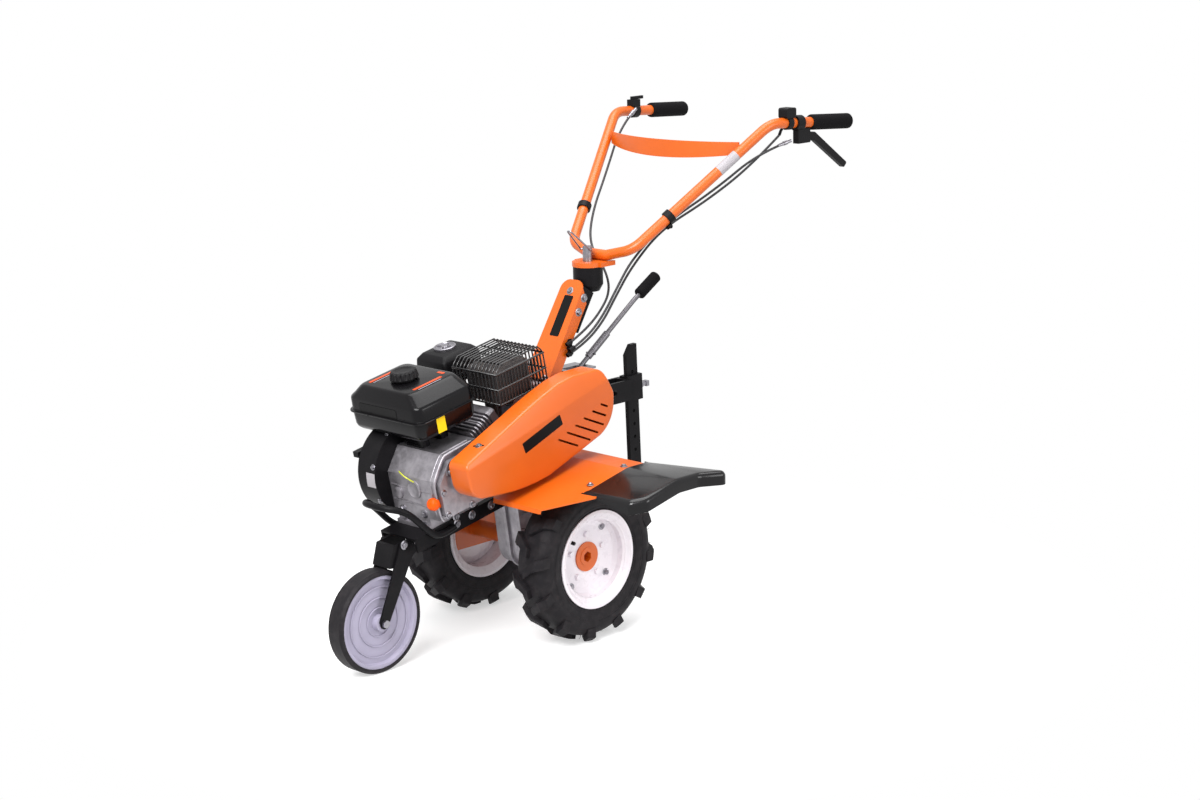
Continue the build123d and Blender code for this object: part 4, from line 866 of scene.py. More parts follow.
def cleaner_form():
    """Air cleaner: a base tray, a moulded lid with a bead and its round knob with a cross."""
    length, width, height = CLEANER_SIZE
    # Each level: how far it stands out, corner radius and height
    levels = (
        (-8.0, 10.0, 0.0), (-4.0, 10.0, 4.0), (-2.0, 10.0, 16.0), (1.5, 10.0, 18.0), (2.2, 10.0, 20.0),
        (2.2, 10.0, 23.0), (1.5, 10.0, 25.0), (0.0, 10.0, 26.0), (-1.0, 10.0, 50.0),
        (-2.5, 10.0, height - 14.0), (-3.6, 10.0, height - 11.6), (-14.0, 8.0, height - 1.4),
        (-17.0, 7.0, height))
    layers = [(rounded(length + 2 * grow, width + 2 * grow, corner, steps=6), level)
              for grow, corner, level in levels]
    place = Matrix.Translation(CLEANER_PLACE)
    mesh = bmesh.new()
    stack(mesh, layers, place)
    lid = add_piece("air_cleaner_moulding", mesh, "black_plastic", place=ENGINE, smooth=32.0)
    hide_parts("air_cleaner")
    knob = bmesh.new()
    top = place @ Matrix.Translation((-1.0, -7.0, height - 0.2))
    dish = [(27.5, 0.0), (27.5, 4.6), (26.0, 5.8), (23.5, 5.8), (22.5, 4.4), (9.0, 4.4), (8.0, 7.0),
            (0.0, 7.4)]
    lathe(knob, dish, top, 56)
    for turn in (20.0, 110.0):
        bar = top @ Matrix.Rotation(math.radians(turn), 4, "Z") @ Matrix.Translation((0.0, 0.0, 3.8))
        plate(knob, (42.0, 5.0, 2.3), bar, 3.2, 0.9)
    nut = add_piece("air_cleaner_knob", knob, "zinc_steel", place=ENGINE)
    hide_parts("air_cleaner_nut")


# Muffler guard, in the engine's own frame

GUARD_LOW = (-314.0, -38.0, 229.0)
GUARD_HIGH = (-158.0, 110.0, 326.0)
# Radii of its round bars
GUARD_BARS = {"hoop": 1.9, "upright": 1.7, "rail": 2.6, "crossbar": 1.8}
# Where the crossbars lie, as shares of the guard's length
GUARD_CROSSBARS = (0.1, 0.36, 0.6, 0.84)


def guard_form():
    """Muffler guard of welded round bars: close hoops over its top and thin uprights on its sides."""
    counts = bpy.context.scene.tractor_counts
    (x0, y0, z0), (x1, y1, z1) = GUARD_LOW, GUARD_HIGH
    shoulder = z1 - 20.0
    mesh = bmesh.new()
    # Side view of one hoop: up one end, across the top and down the other
    hoop = ((x0, z0), (x0, shoulder), (x0 + 4.0, shoulder + 8.0), (x0 + 14.0, z1), (x1 - 20.0, z1),
            (x1 - 6.0, shoulder + 8.0), (x1, shoulder), (x1, z0))
    for number in range(counts.guard_hoops):
        y = y0 + (y1 - y0) * number / (counts.guard_hoops - 1)
        swept(mesh, [(x, y, z) for x, z in hoop], GUARD_BARS["hoop"], 8)
    for y in (y0, y1):
        for number in range(1, counts.guard_spaces):
            x = x0 + (x1 - x0) * number / counts.guard_spaces
            swept(mesh, [(x, y, z0), (x, y, shoulder + 1.0)], GUARD_BARS["upright"], 8)
    for z, grow in ((z0 + 2.0, 0.0), ((z0 + shoulder) / 2, 0.5), (shoulder, 1.0)):
        rail = ((x0 - grow, y0 - grow), (x1 + grow, y0 - grow),
                (x1 + grow, y1 + grow), (x0 - grow, y1 + grow))
        swept(mesh, [(x, y, z) for x, y in rail], GUARD_BARS["rail"], 8, closed=True)
    for share in GUARD_CROSSBARS:
        x = x0 + (x1 - x0) * share
        swept(mesh, [(x, y0, z1 - 3.2), (x, y1, z1 - 3.2)], GUARD_BARS["crossbar"], 8)
    guard = add_piece("muffler_guard_bars", mesh, "black_enamel", place=ENGINE, smooth=50.0,
                      finish="guard_gloss_enamel")
    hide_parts("muffler_guard")


# Wings and their end pieces

WING_FOLD_X = -30.0
WING_TOP = 430.0
WING_FALL = 54.0 / 244.0
WING_EDGE = 358.0
FLAP_ROOT = 302.0
FLAP_OUTLINE = ((112.0, FLAP_ROOT), (107.0, 452.0), (76.0, 479.0), (-96.0, 481.0), (-172.0, 527.0),
                (-104.0, FLAP_ROOT))
FLAP_CORNERS = (0, 18.0, 22.0, 30.0, 13.0, 0)
FLAP_SKIRT = 33.0
FLAP_RISE = 4.6
FLAP_EDGE = 13.0
FLAP_SHEET = 2.6


def wing_surface(x):
    """Height of the wing's upper face over the floor, at a place along the machine."""
    return WING_TOP - max(0.0, x - WING_FOLD_X) * WING_FALL


def flap_form(side):
    """Vacuum-formed end piece of one wing: a rounded cap with a skirt round its outer sides."""
    outline = softened(FLAP_OUTLINE, FLAP_CORNERS)
    foot = FLAP_RISE - FLAP_SKIRT
    layers = [(inset(outline, 1.0), foot), (outline, foot + 0.6)]
    layers += [(inset(outline, near), FLAP_RISE - drop) for near, drop in rounding(FLAP_EDGE, 6)]
    mesh = bmesh.new()
    stack(mesh, layers, close_low=False)
    # The skirt is left open on the inner side, where the wing runs in.
    doomed = [face for face in mesh.faces if all(vertex.co.y < FLAP_ROOT + 15.0 for vertex in face.verts)]
    bmesh.ops.delete(mesh, geom=doomed, context="FACES")
    for x in (WING_FOLD_X - 4.0, WING_FOLD_X + 4.0):
        cut_along(mesh, (x, 0, 0), (1, 0, 0))
    for vertex in mesh.verts:
        surface = wing_surface(vertex.co.x)
        vertex.co.z += surface
        # Over the wing the skirt ends just above it.
        if vertex.co.y < WING_EDGE and vertex.co.z < surface + 0.8:
            vertex.co.z = surface + 0.8
        vertex.co.y *= side
    flap = add_piece(f"wing_flap_{SIDE_NAMES[side]}", mesh, "gloss_plastic", body=None)
    thickened(flap, FLAP_SHEET)
    settled(flap)
    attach(flap, "chassis")
    if side > 0:
        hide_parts("wing_flaps")


# Wheels

WHEEL_HALF_TRACK = 195.5
DRIVE_AXLE = (0.0, 0.0, 202.0)
FRONT_AXLE = (494.0, 0.0, 122.0)
# From a tyre's middle plane out to the face of its wall, and its radius between the lugs
TYRE_WALL = 50.2
TYRE_FOOT = 184.0
# Radius of each ring on the tyre's wall, and how far it rises or falls from the face
WALL_RINGS = ((131.0, -3.2), (146.0, -0.6), (152.0, -0.4))
HAIR_SEEDS = {1: 11, -1: 12}
HAIR_RADIUS = 0.55
DISC_FACE = 15.6
DISC_RINGS = (34.0, 58.0, 84.0)
RIM_BOLT_CIRCLE = 84.0
VALVE_REACH = 92.0
VALVE_TURN = math.radians(38.0)


def tyre_details(side):
    """Sidewall rings and mould hairs of one drive tyre."""
    name = SIDE_NAMES[side]
    rings = bmesh.new()
    for face in (-1, 1):
        wall = side * WHEEL_HALF_TRACK + face * TYRE_WALL
        out = aimed((DRIVE_AXLE[0], wall, DRIVE_AXLE[2]), (0, face, 0))
        for radius, rise in WALL_RINGS:
            raised_ring(rings, out, radius, (1.6, 1.0), (rise - 2.0, rise + 1.0))
    add_piece(f"tyre_rings_{name}", rings, "tyre_rubber", "drive_wheels")
    hairs = bmesh.new()
    draw = random.Random(HAIR_SEEDS[side])
    count = bpy.context.scene.tractor_counts.mould_hairs
    for number in range(count):
        turn = math.tau * (number + draw.uniform(-0.3, 0.3)) / count
        across = side * WHEEL_HALF_TRACK + draw.choice((-1, 1)) * draw.uniform(12.0, 40.0)
        out = Vector((math.cos(turn), 0.0, math.sin(turn)))
        foot = Vector((DRIVE_AXLE[0], across, DRIVE_AXLE[2])) + out * TYRE_FOOT
        bend = Vector((0.0, draw.uniform(-0.5, 0.5), 0.0))
        bend += out.cross(Vector((0, 1, 0))) * draw.uniform(-0.5, 0.5)
        swept(hairs, [foot, foot + out * 7.0, foot + out * 11.0 + bend * 5.0], HAIR_RADIUS, 5)
    add_piece(f"mould_hairs_{name}", hairs, "tyre_rubber", "drive_wheels")


def rim_details(side):
    """Outer bolts and valve of one rim."""
    name = SIDE_NAMES[side]
    disc = side * (WHEEL_HALF_TRACK + 6.0)
    bolts = bmesh.new()
    centre = (0.0, disc, DRIVE_AXLE[2])
    ring_of_bolts(bolts, centre, side, RIM_BOLT_CIRCLE, 4, start=40.0, across=11.0, height=6.0)
    add_piece(f"rim_bolts_{name}", bolts, "zinc_steel", "drive_wheels")
    valve = bmesh.new()
    out = (math.cos(VALVE_TURN), math.sin(VALVE_TURN))
    foot = (VALVE_REACH * out[0], disc, DRIVE_AXLE[2] + VALVE_REACH * out[1])
    stem = [(5.5, -2), (5.5, 3), (4.0, 6), (4.0, 20), (4.6, 20.5), (4.6, 29), (3.6, 30.5), (0, 30.5)]
    lathe(valve, stem, aimed(foot, (-out[0] * 0.3, side, -out[1] * 0.3)), 14)
    add_piece(f"valve_{name}", valve, "black_plastic", "drive_wheels")


def front_wheel_details():
    """Raised rings on both faces of the front wheel's disc."""
    mesh = bmesh.new()
    for face in (-1, 1):
        out = aimed((FRONT_AXLE[0], face * DISC_FACE, FRONT_AXLE[2]), (0, face, 0))
        for radius in DISC_RINGS:
            raised_ring(mesh, out, radius, (1.2, 0.6), (-1.0, 0.7))
    add_piece("wheel_disc_rings", mesh, "grey_plastic", "front_wheel")


# Crankcase, starter and cylinder

# The engine's left and front faces, and the bolts of its left one in the side view
CASE_SIDE = 108.0
CASE_BOLTS = ((-76, 40), (-20, 36), (56, 40), (58, 96), (30, 138), (-10, 157), (-74, 150), (-78, 96))
CASE_FRONT = 70.0
# The fan's axis in the side view, and the outer face of the starter over it
FAN_AXIS = (0.0, 106.0)
FAN_FACE = -162.6
# Number and radius of each circle of vent slots, which are drawn as painted shade
VENT_CIRCLES = ((10, 34.0), (16, 54.0), (20, 70.0))
BLOWER_RADIUS = 110.6
BLOWER_LABEL_RADIUS = 111.3
# From the cylinder's origin to the top of its head
HEAD_TOP = 114.0


def case_details():
    """Bolts, raised beads and bosses, oil plug and earth wire of the crankcase."""
    bolts = bmesh.new()
    for x, z in CASE_BOLTS:
        bolt(bolts, aimed((x, CASE_SIDE, z), (0, 1, 0), spin=x), across=10.0, height=6.5)
    for y in (40.0, -34.0):
        bolt(bolts, aimed((CASE_FRONT, y, 36.0), (1, 0, 0), spin=y), across=12.0, height=7.0)
        bolt(bolts, aimed((66.0, y * 0.9, 10.0), (0, 0, 1), spin=y), across=12.0, height=7.0)
    add_piece("case_bolts", bolts, "zinc_steel", place=ENGINE)
    ribs = bmesh.new()
    for y, reach in ((95.0, 3.4), (82.0, 2.6)):
        line = [(62.0, y, 26.0), (70.6, y, 34.0), (71.0, y, 116.0), (66.0, y, 130.0), (32.0, y, 171.0),
                (20.0, y, 176.0), (-60.0, y, 177.0)]
        swept(ribs, smooth_line(line), reach, 10)
    for z in (58.0, 96.0):
        swept(ribs, [(CASE_FRONT, -60.0, z), (70.4, 0.0, z), (CASE_FRONT, 86.0, z)], 2.2, 8)
    ringed_boss = [(24.0, -2.0), (23.0, 3.0), (19.0, 4.0), (17.0, 2.5), (0.0, 2.5)]
    lathe(ribs, ringed_boss, aimed((CASE_FRONT, 20.0, 96.0), (1, 0, 0)), 36)
    plain_boss = [(15.0, -2.0), (14.0, 5.0), (9.0, 6.0), (0.0, 6.0)]
    lathe(ribs, plain_boss, aimed((CASE_FRONT, -38.0, 78.0), (1, 0, 0)), 28)
    add_piece("case_ribs", ribs, "cast_aluminium", place=ENGINE)
    plug = bmesh.new()
    turned = [(0.0, -9.0), (9.0, -9.0), (9.0, 2.0), (14.0, 2.5), (15.0, 5.0), (14.6, 14.0), (12.6, 19.0),
              (8.0, 22.0), (0.0, 22.8)]
    lathe(plug, turned, aimed((71.0, 90.0, 70.0), (0.87, 0.1, 0.48)), 40)
    cap = add_piece("oil_filler_plug", plug, "orange_plastic", place=ENGINE, smooth=50.0)
    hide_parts("oil_filler_cap")
    wire = bmesh.new()
    route = [(71.0, -22.0, 134.0), (82.0, -6.0, 138.0), (84.0, 14.0, 130.0), (77.0, 25.0, 120.0),
             (71.5, 27.0, 114.0)]
    swept(wire, smooth_line(route), 1.5, 8)
    add_piece("earth_wire", wire, "cable_plastic", place=ENGINE, finish="yellow_wire_sheath")


def fan_details():
    """Painted shade of the recoil starter's vent slots, its bolts, and bolts and a blank label on the
    blower housing.
    """
    x, z = FAN_AXIS
    out = aimed((x, FAN_FACE, z), (0, -1, 0))
    # Near-black prisms on the starter's face are painted shade standing in for its open vent slots.
    vent_shade = bmesh.new()
    for count, radius in VENT_CIRCLES:
        for number in range(count):
            turn = math.radians(360.0 * number / count)
            place = out @ Matrix.Rotation(turn, 4, "Z") @ Matrix.Translation((radius, 0, -0.4))
            prism(vent_shade, rounded(13.0, 5.0, 2.4, steps=3), place, 1.0, 0.3)
    add_piece("starter_vent_shade", vent_shade, "black_plastic", place=ENGINE, finish="painted_slot_shade")
    bolts = bmesh.new()
    for number in range(3):
        turn = math.radians(40.0 + number * 120.0)
        where = (x + 85.0 * math.cos(turn), FAN_FACE + 13.0, z + 85.0 * math.sin(turn))
        bolt(bolts, aimed(where, (0, -1, 0)), across=8.0, height=5.0)
    for number in range(4):
        turn = math.radians(-70.0 + number * 46.0)
        where = (x + BLOWER_RADIUS * math.cos(turn), -75.0, z + BLOWER_RADIUS * math.sin(turn))
        bolt(bolts, aimed(where, (math.cos(turn), 0, math.sin(turn))), across=8.0, height=5.0)
    add_piece("starter_bolts", bolts, "zinc_steel", place=ENGINE)
    label = bmesh.new()
    turns = [math.radians(-4.0 + 3.0 * number) for number in range(7)]
    reach = BLOWER_LABEL_RADIUS
    arc = [(x + reach * math.cos(turn), z + reach * math.sin(turn)) for turn in turns]
    near, far = ([label.verts.new((ahead, y, up)) for ahead, up in arc] for y in (-98.0, -68.0))
    for number in range(len(arc) - 1):
        label.faces.new([near[number], near[number + 1], far[number + 1], far[number]])
    add_piece("blower_blank_label", label, "grey_plastic", place=ENGINE, finish="pale_grey_vinyl")


def cylinder_details():
    """The bolts of the cylinder head."""
    mesh = bmesh.new()
    for x in (-36.0, 36.0):
        for y in (-40.0, 40.0):
            bolt(mesh, Matrix.Translation((x, y, HEAD_TOP)), across=11.0, height=7.0)
    add_piece("head_bolts", mesh, "zinc_steel", place=CYLINDER)


# Bumper, frame and column

BUMPER_ARM = ((300.0, 70.6, 318.0), (345.0, 70.6, 303.0), (378.0, 70.6, 322.0), (414.0, 68.6, 358.0),
              (446.0, 64.6, 385.0), (482.0, 34.0, 394.0))
BUMPER_RADIUS = 8.0
# Places of the bolts in the side view, and how far from the middle they sit
RAIL_BOLTS = ((285, 320), (237, 331), (175, 342), (287, 339))
RAIL_SIDE = 62.0
BRACKET_BOLTS = ((427.0, 296.0), (388.0, 299.0))
BRACKET_SIDE = 37.0
FLANGE_BOLTS = ((-190.0, 590.0), (-190.0, 500.0), (60.0, 580.0), (70.0, 430.0))
FLANGE_SIDE = 5.0
COLUMN_FOOT = (-50.0, 0.0, 612.0)
COLUMN_LEAN = math.radians(31.8)


def bumper_form():
    """Bent round bumper loop, closer to the engine than the CAD node's."""
    mesh = bmesh.new()
    line = list(BUMPER_ARM) + [(x, -y, z) for x, y, z in reversed(BUMPER_ARM)]
    swept(mesh, smooth_line(line), BUMPER_RADIUS, 16)
    loop = add_piece("bumper_tube", mesh, "black_enamel")
    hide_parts("front_bumper")


def frame_details():
    """Bolts of the rails, front bracket, wings, column foot and gear case flange."""
    bolts = bmesh.new()
    for x, z in RAIL_BOLTS:
        for side in (-1, 1):
            bolt(bolts, aimed((x, side * RAIL_SIDE, z), (0, side, 0), spin=x), across=12.0, height=7.0)
    for x, z in BRACKET_BOLTS:
        bolt(bolts, aimed((x, BRACKET_SIDE, z), (0, 1, 0), spin=x), across=12.0, height=6.0)
    for x in (69.0, -44.0):
        for side in (-1, 1):
            where = (x, side * 290.0, wing_surface(x) + 0.2)
            bolt(bolts, aimed(where, (0, 0, 1), spin=x), across=10.0, height=5.5)
    for x in (-104.0, -34.0):
        for side in (-1, 1):
            bolt(bolts, aimed((x, side * 40.0, 609.8), (0, 0, 1), spin=x), across=12.0, height=7.0)
    for x, z in FLANGE_BOLTS:
        for side in (1, -1):
            bolt(bolts, aimed((x, side * FLANGE_SIDE, z), (0, side, 0)), across=10.0, height=6.0)
    add_piece("frame_bolts", bolts, "zinc_steel")


def column_details():
    """Blank label and bolts of the column."""
    # The column's back: x to the left, y up along the column and z out of its face
    along, out = math.cos(COLUMN_LEAN), math.sin(COLUMN_LEAN)
    place = Matrix.Translation(COLUMN_FOOT)
    place = place @ Matrix(((0, -out, along, 0), (1, 0, 0, 0), (0, along, out, 0), (0, 0, 0, 1)))
    label = bmesh.new()
    plate(label, (30.0, 108.0, 3.0), place @ Matrix.Translation((3.0, 156.0, 0.1)))
    add_piece("column_blank_label", label, "black_plastic", finish="black_vinyl")
    bolts = bmesh.new()
    face = place.to_3x3() @ Vector((0, 0, 1))
    bolt(bolts, aimed(place @ Vector((0.0, 222.0, 0.2)), face), across=11.0, height=5.0)
    for y in (214.0, 176.0):
        for side in (-1, 1):
            where = place @ Vector((side * 36.9, y, -16.0))
            bolt(bolts, aimed(where, (0, side, 0), spin=y), across=12.0, height=7.0)
    add_piece("column_bolts", bolts, "zinc_steel")


# Cables

CABLE_ROUTES = {
    "throttle_cable": (
        (-660, -240, 1186), (-600, -236, 1150), (-480, -176, 1042), (-373, -122, 960), (-310, -74, 890),
        (-292, 0, 836), (-262, 44, 790), (-214, 52, 744), (-160, 50, 706), (-112, 47, 684)),
    "clutch_cable": (
        (-690, 262, 1133), (-600, 236, 1110), (-500, 186, 1030), (-373, 124, 950), (-300, 84, 870),
        (-262, 66, 800), (-214, 65, 740), (-160, 62, 694), (-112, 57, 672)),
    "stop_wire": (
        (-664, 250, 1150), (-590, 222, 1080), (-480, 170, 1000), (-373, 116, 938), (-310, 74, 850),
        (-270, 56, 780), (-222, 56, 722), (-164, 52, 678), (-112, 48, 658)),
}
CABLE_RADIUS = 3.0
# The cables follow the column up to the first place and the handlebar from the second one on.
HANDLE_LEG = ((-283.0, 104.0, 897.0), (-612.0, 266.0, 1184.0))
# Places along the leg, as shares of its length
CLAMP_SHARE = 0.26
BAND_SHARES = (0.62, 0.75)
# The sleeve that leads the stop wire into its switch
SWITCH_TAIL = ((-664.0, 250.0, 1150.0), (-665.0, 254.0, 1161.0), (-667.0, 260.0, 1171.0))
CLIP_BLOCK = (-121.0, 36.5, 671.0)


def add_cables():
    """The control cables on smooth lines, bent between the column and the handlebar."""
    for name, route in CABLE_ROUTES.items():
        line = smooth_line(route)
        mesh = bmesh.new()
        swept(mesh, line, CABLE_RADIUS, 10)
        piece = add_piece(f"{name}_smooth", mesh, "cable_plastic", body=None)
        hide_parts(name)
        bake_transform(piece)


def cable_fittings():
    """Barrel adjusters, clamps, the blank band of the handlebar and the clips on the column."""
    metal = bmesh.new()
    barrel = [(0, -4), (4.2, -4), (4.2, 8), (5.6, 8.4), (5.6, 20), (4.4, 20.6), (4.4, 30), (3.2, 31),
              (3.2, 36)]
    for name in ("clutch_cable", "throttle_cable"):
        start, after = (Vector(point) for point in CABLE_ROUTES[name][:2])
        lathe(metal, barrel, aimed(start, (after - start).normalized()), 14)
    add_piece("cable_barrels", metal, "zinc_steel", "handlebar")
    clamps = bmesh.new()
    band = bmesh.new()
    clamp = [(13.2, -9.0), (16.4, -9.0), (17.4, -8.0), (17.4, 8.0), (16.4, 9.0), (13.2, 9.0)]
    for side in (1, -1):
        low, high = (Vector((x, side * y, z)) for x, y, z in HANDLE_LEG)
        along = (high - low).normalized()
        at = low.lerp(high, CLAMP_SHARE)
        lathe(clamps, clamp, aimed(at, along), 40)
        lug = at + Vector((0.0, 0.0, -20.0)) - along * 4.0
        bolt(clamps, aimed(lug, (0, side, 0)), across=10.0, height=12.0)
        if side > 0:
            start, end = (low.lerp(high, share) for share in BAND_SHARES)
            reach = (end - start).length
            film = [(13.1, 0.0), (13.4, 0.3), (13.4, reach), (13.1, reach + 0.3)]
            lathe(band, film, aimed(start, along), 48)
    swept(clamps, SWITCH_TAIL, 3.8, 12)
    add_piece("cable_clamps", clamps, "black_plastic", "handlebar")
    add_piece("handle_blank_band", band, "grey_plastic", "handlebar", finish="pale_grey_vinyl")
    clip = bmesh.new()
    plate(clip, (16.0, 44.0, 4.0), aimed(CLIP_BLOCK, (0, 1, 0)), 5.0, 0.8)
    collar = [(3.0, -8.0), (5.4, -8.0), (5.8, -7.0), (5.8, 7.0), (5.4, 8.0), (3.0, 8.0)]
    for route in CABLE_ROUTES.values():
        before, end = (Vector(point) for point in route[-2:])
        lathe(clip, collar, aimed(end, (before - end).normalized()), 20)
        swept(clip, [(end.x, 38.0, end.z), (end.x, end.y, end.z)], 3.0, 10)
    clips = add_piece("cable_clips", clip, "black_plastic")
    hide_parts("cable_bracket")


# Stage

# How much of its own light the seen floor gives, and where its shadow fades out, in metres
FLOOR_LIFT = 0.5
SHADOW_REACH = (0.55, 1.35)
# Every softbox is turned to this point, in metres.
LAMP_AIM = (0.0, 0.0, 0.55)


def add_softbox(name, place, size, power):
    """An area lamp at place, turned to the middle of the object."""
    lamp = bpy.data.lights.new(name, "AREA")
    lamp.shape = "RECTANGLE"
    lamp.size, lamp.size_y = size
    lamp.energy = power
    thing = bpy.data.objects.new(name, lamp)
    thing.location = place
    thing.rotation_euler = (Vector(LAMP_AIM) - Vector(place)).to_track_quat("-Z", "Y").to_euler()
    bpy.context.scene.collection.objects.link(thing)


def seen_ray(tree):
    """1 for camera, mirror and see-through rays, which show the white backdrop; 0 for the rest."""
    path = add_node(tree, "ShaderNodeLightPath").outputs
    first = add_node(tree, "ShaderNodeMath", {0: path["Is Camera Ray"], 1: path["Is Glossy Ray"]},
                     operation="MAXIMUM").outputs[0]
    return add_node(tree, "ShaderNodeMath", {0: first, 1: path["Is Transmission Ray"]},
                    operation="MAXIMUM").outputs[0]


def build_floor(size):
    """A plain pale floor that keeps the shadow and runs out into the white backdrop."""
    mesh = bpy.data.meshes.new("floor")
    half = size / 2
    corners = [(-half, -half, 0), (half, -half, 0), (half, half, 0), (-half, half, 0)]
    mesh.from_pydata(corners, [], [(0, 1, 2, 3)])
    floor = bpy.data.objects.new("floor", mesh)
    bpy.context.scene.collection.objects.link(floor)
    tree, surface = new_material("matt_floor_paint")
    matt = add_node(tree, "ShaderNodeBsdfDiffuse", {"Color": linear("D9D9D9")})
    lift = add_node(tree, "ShaderNodeMath", {0: seen_ray(tree), 1: FLOOR_LIFT}, operation="MULTIPLY")
    glow = add_node(tree, "ShaderNodeEmission", {"Color": linear("FFFFFF"), "Strength": lift.outputs[0]})
    near = add_node(tree, "ShaderNodeAddShader", {0: matt.outputs[0], 1: glow.outputs[0]})
    white = add_node(tree, "ShaderNodeEmission", {"Color": linear("FFFFFF"), "Strength": 1.0})
    # Beyond SHADOW_REACH from the object the seen floor is plain white, so it meets the backdrop.
    place = add_node(tree, "ShaderNodeTexCoord").outputs["Object"]
    reach = add_node(tree, "ShaderNodeVectorMath", {0: place}, operation="LENGTH").outputs["Value"]
    fade = between(tree, reach, *SHADOW_REACH)
    fade = add_node(tree, "ShaderNodeMath", {0: fade, 1: seen_ray(tree)}, operation="MULTIPLY").outputs[0]
    both = add_node(tree, "ShaderNodeMixShader", {0: fade, 1: near.outputs[0], 2: white.outputs[0]})
    tree.links.new(both.outputs[0], surface)
    mesh.materials.append(bpy.data.materials["matt_floor_paint"])


def build_world(surround):
    """White surroundings, dimmer for the light that falls on the object."""
    world = bpy.data.worlds.new("white_room")
    bpy.context.scene.world = world
    world.use_nodes = True
    tree = world.node_tree
    tree.nodes.clear()
    level = between(tree, seen_ray(tree), 0.0, 1.0, surround, 1.0)
    room = add_node(tree, "ShaderNodeBackground", {"Color": linear("FFFFFF"), "Strength": level})
    output = add_node(tree, "ShaderNodeOutputWorld")
    tree.links.new(room.outputs[0], output.inputs["Surface"])


# Operators, in the order in which they run

class TRACTOR_OT_stage(bpy.types.Operator):
    """Sets the camera, the pale floor and the soft studio light"""

    bl_idname = "tractor.stage"
    bl_label = "Stage"

    def execute(self, context):
        stage = context.scene.tractor_stage
        target = Vector(stage.target)
        away = Vector((math.sin(stage.azimuth) * math.cos(stage.elevation),
                       math.cos(stage.azimuth) * math.cos(stage.elevation),
                       math.sin(stage.elevation)))
        lens = bpy.data.cameras.new("camera")
        lens.lens = stage.lens
        lens.sensor_width = 36.0
        lens.clip_end = 200.0
        camera = bpy.data.objects.new("camera", lens)
        turn = (-away).to_track_quat("-Z", "Y").to_matrix() @ Matrix.Rotation(stage.roll, 3, "Z")
        camera.matrix_world = Matrix.Translation(target + away * stage.distance) @ turn.to_4x4()
        context.scene.collection.objects.link(camera)
        context.scene.camera = camera
        context.scene.view_settings.view_transform = "Standard"
        build_floor(stage.floor_size)
        build_world(stage.surround)
        add_softbox("key_softbox", (3.2, 1.2, 3.0), (2.2, 1.6), stage.key_light)
        add_softbox("fill_softbox", (-0.6, 4.2, 1.9), (2.4, 1.8), stage.fill_light)
        add_softbox("top_softbox", (0.0, 0.0, 3.6), (3.0, 2.4), stage.top_light)
        return {"FINISHED"}


class TRACTOR_OT_finishes(bpy.types.Operator):
    """Gives every carried-over node its finish"""

    bl_idname = "tractor.finishes"
    bl_label = "Finishes"

    def execute(self, context):
        dress_cad_nodes()
        return {"FINISHED"}


class TRACTOR_OT_cables(bpy.types.Operator):
    """Adds the control cables with their adjusters, clamps and clips"""

    bl_idname = "tractor.cables"
    bl_label = "Cables"

    def execute(self, context):
        add_cables()
        cable_fittings()
        return {"FINISHED"}


class TRACTOR_OT_belt_cover(bpy.types.Operator):
    """Adds the pressed belt cover and its back plate"""

    bl_idname = "tractor.belt_cover"
    bl_label = "Belt cover"

    def execute(self, context):
        belt_cover_form()
        return {"FINISHED"}


class TRACTOR_OT_tank(bpy.types.Operator):
    """Adds the pressed fuel tank and its cap"""

    bl_idname = "tractor.tank"
    bl_label = "Fuel tank"

    def execute(self, context):
        tank_form()
        cap_form()
        return {"FINISHED"}


class TRACTOR_OT_air_cleaner(bpy.types.Operator):
    """Adds the air cleaner and its knob"""

    bl_idname = "tractor.air_cleaner"
    bl_label = "Air cleaner"

    def execute(self, context):
        cleaner_form()
        return {"FINISHED"}


class TRACTOR_OT_muffler_guard(bpy.types.Operator):
    """Adds the muffler guard of round bars"""

    bl_idname = "tractor.muffler_guard"
    bl_label = "Muffler guard"

    def execute(self, context):
        guard_form()
        return {"FINISHED"}


class TRACTOR_OT_wing_ends(bpy.types.Operator):
    """Adds the formed end pieces of both wings"""

    bl_idname = "tractor.wing_ends"
    bl_label = "Wing end pieces"

    def execute(self, context):
        for side in (1, -1):
            flap_form(side)
        return {"FINISHED"}


class TRACTOR_OT_bumper(bpy.types.Operator):
    """Adds the bumper's bent tube"""

    bl_idname = "tractor.bumper"
    bl_label = "Bumper"

    def execute(self, context):
        bumper_form()
        return {"FINISHED"}


class TRACTOR_OT_wheels(bpy.types.Operator):
    """Adds the rings, hairs, bolts and valves of the wheels"""

    bl_idname = "tractor.wheels"
    bl_label = "Wheels"

    def execute(self, context):
        for side in (1, -1):
            tyre_details(side)
            rim_details(side)
        front_wheel_details()
        return {"FINISHED"}


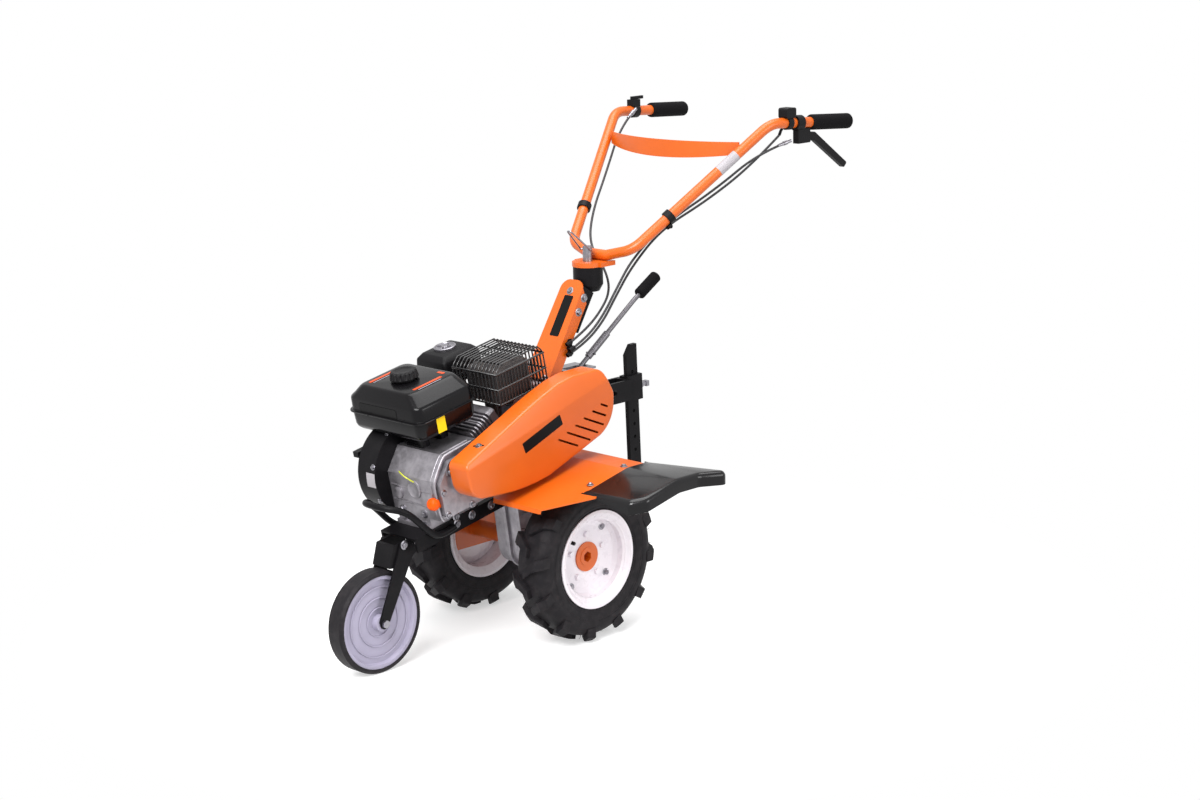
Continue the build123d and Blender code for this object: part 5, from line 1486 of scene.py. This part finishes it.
class TRACTOR_OT_engine(bpy.types.Operator):
    """Adds the engine's stripes, blank labels, bolts, beads, painted shade of the vent slots, oil plug and
    earth wire
    """

    bl_idname = "tractor.engine"
    bl_label = "Engine details"

    def execute(self, context):
        tank_details()
        case_details()
        fan_details()
        cylinder_details()
        return {"FINISHED"}


class TRACTOR_OT_fasteners(bpy.types.Operator):
    """Adds the bolts and blank labels of the belt cover, the frame and the column"""

    bl_idname = "tractor.fasteners"
    bl_label = "Frame details"

    def execute(self, context):
        cover_details()
        frame_details()
        column_details()
        return {"FINISHED"}


STEPS = (
    TRACTOR_OT_stage,
    TRACTOR_OT_finishes,
    TRACTOR_OT_cables,
    TRACTOR_OT_belt_cover,
    TRACTOR_OT_tank,
    TRACTOR_OT_air_cleaner,
    TRACTOR_OT_muffler_guard,
    TRACTOR_OT_wing_ends,
    TRACTOR_OT_bumper,
    TRACTOR_OT_wheels,
    TRACTOR_OT_engine,
    TRACTOR_OT_fasteners,
)

# The scene's property for each group of settings
SETTINGS = {
    "tractor_finishes": TractorFinishes,
    "tractor_counts": TractorCounts,
    "tractor_stage": TractorStage,
}


class TRACTOR_PT_panel(bpy.types.Panel):
    """Lists the settings and the steps"""

    bl_idname = "TRACTOR_PT_panel"
    bl_label = "Hand Tractor"
    bl_space_type = "VIEW_3D"
    bl_region_type = "UI"
    bl_category = "Tractor"

    def draw(self, context):
        layout = self.layout
        for setting in SETTINGS:
            group = getattr(context.scene, setting)
            box = layout.box()
            for name in group.__annotations__:
                box.prop(group, name)
        for step in STEPS:
            layout.operator(step.bl_idname)


CLASSES = tuple(SETTINGS.values()) + STEPS + (TRACTOR_PT_panel,)


def register():
    """Registers the classes and hangs the settings on the scene."""
    for kind in CLASSES:
        bpy.utils.register_class(kind)
    for setting, kind in SETTINGS.items():
        setattr(bpy.types.Scene, setting, bpy.props.PointerProperty(type=kind))


def unregister():
    """Takes the settings and classes away again."""
    for setting in SETTINGS:
        delattr(bpy.types.Scene, setting)
    for kind in reversed(CLASSES):
        bpy.utils.unregister_class(kind)


def main():
    """Registers the classes and builds everything in order."""
    register()
    for step in STEPS:
        group, name = step.bl_idname.split(".")
        getattr(getattr(bpy.ops, group), name)()


if __name__ == "__main__":
    main()
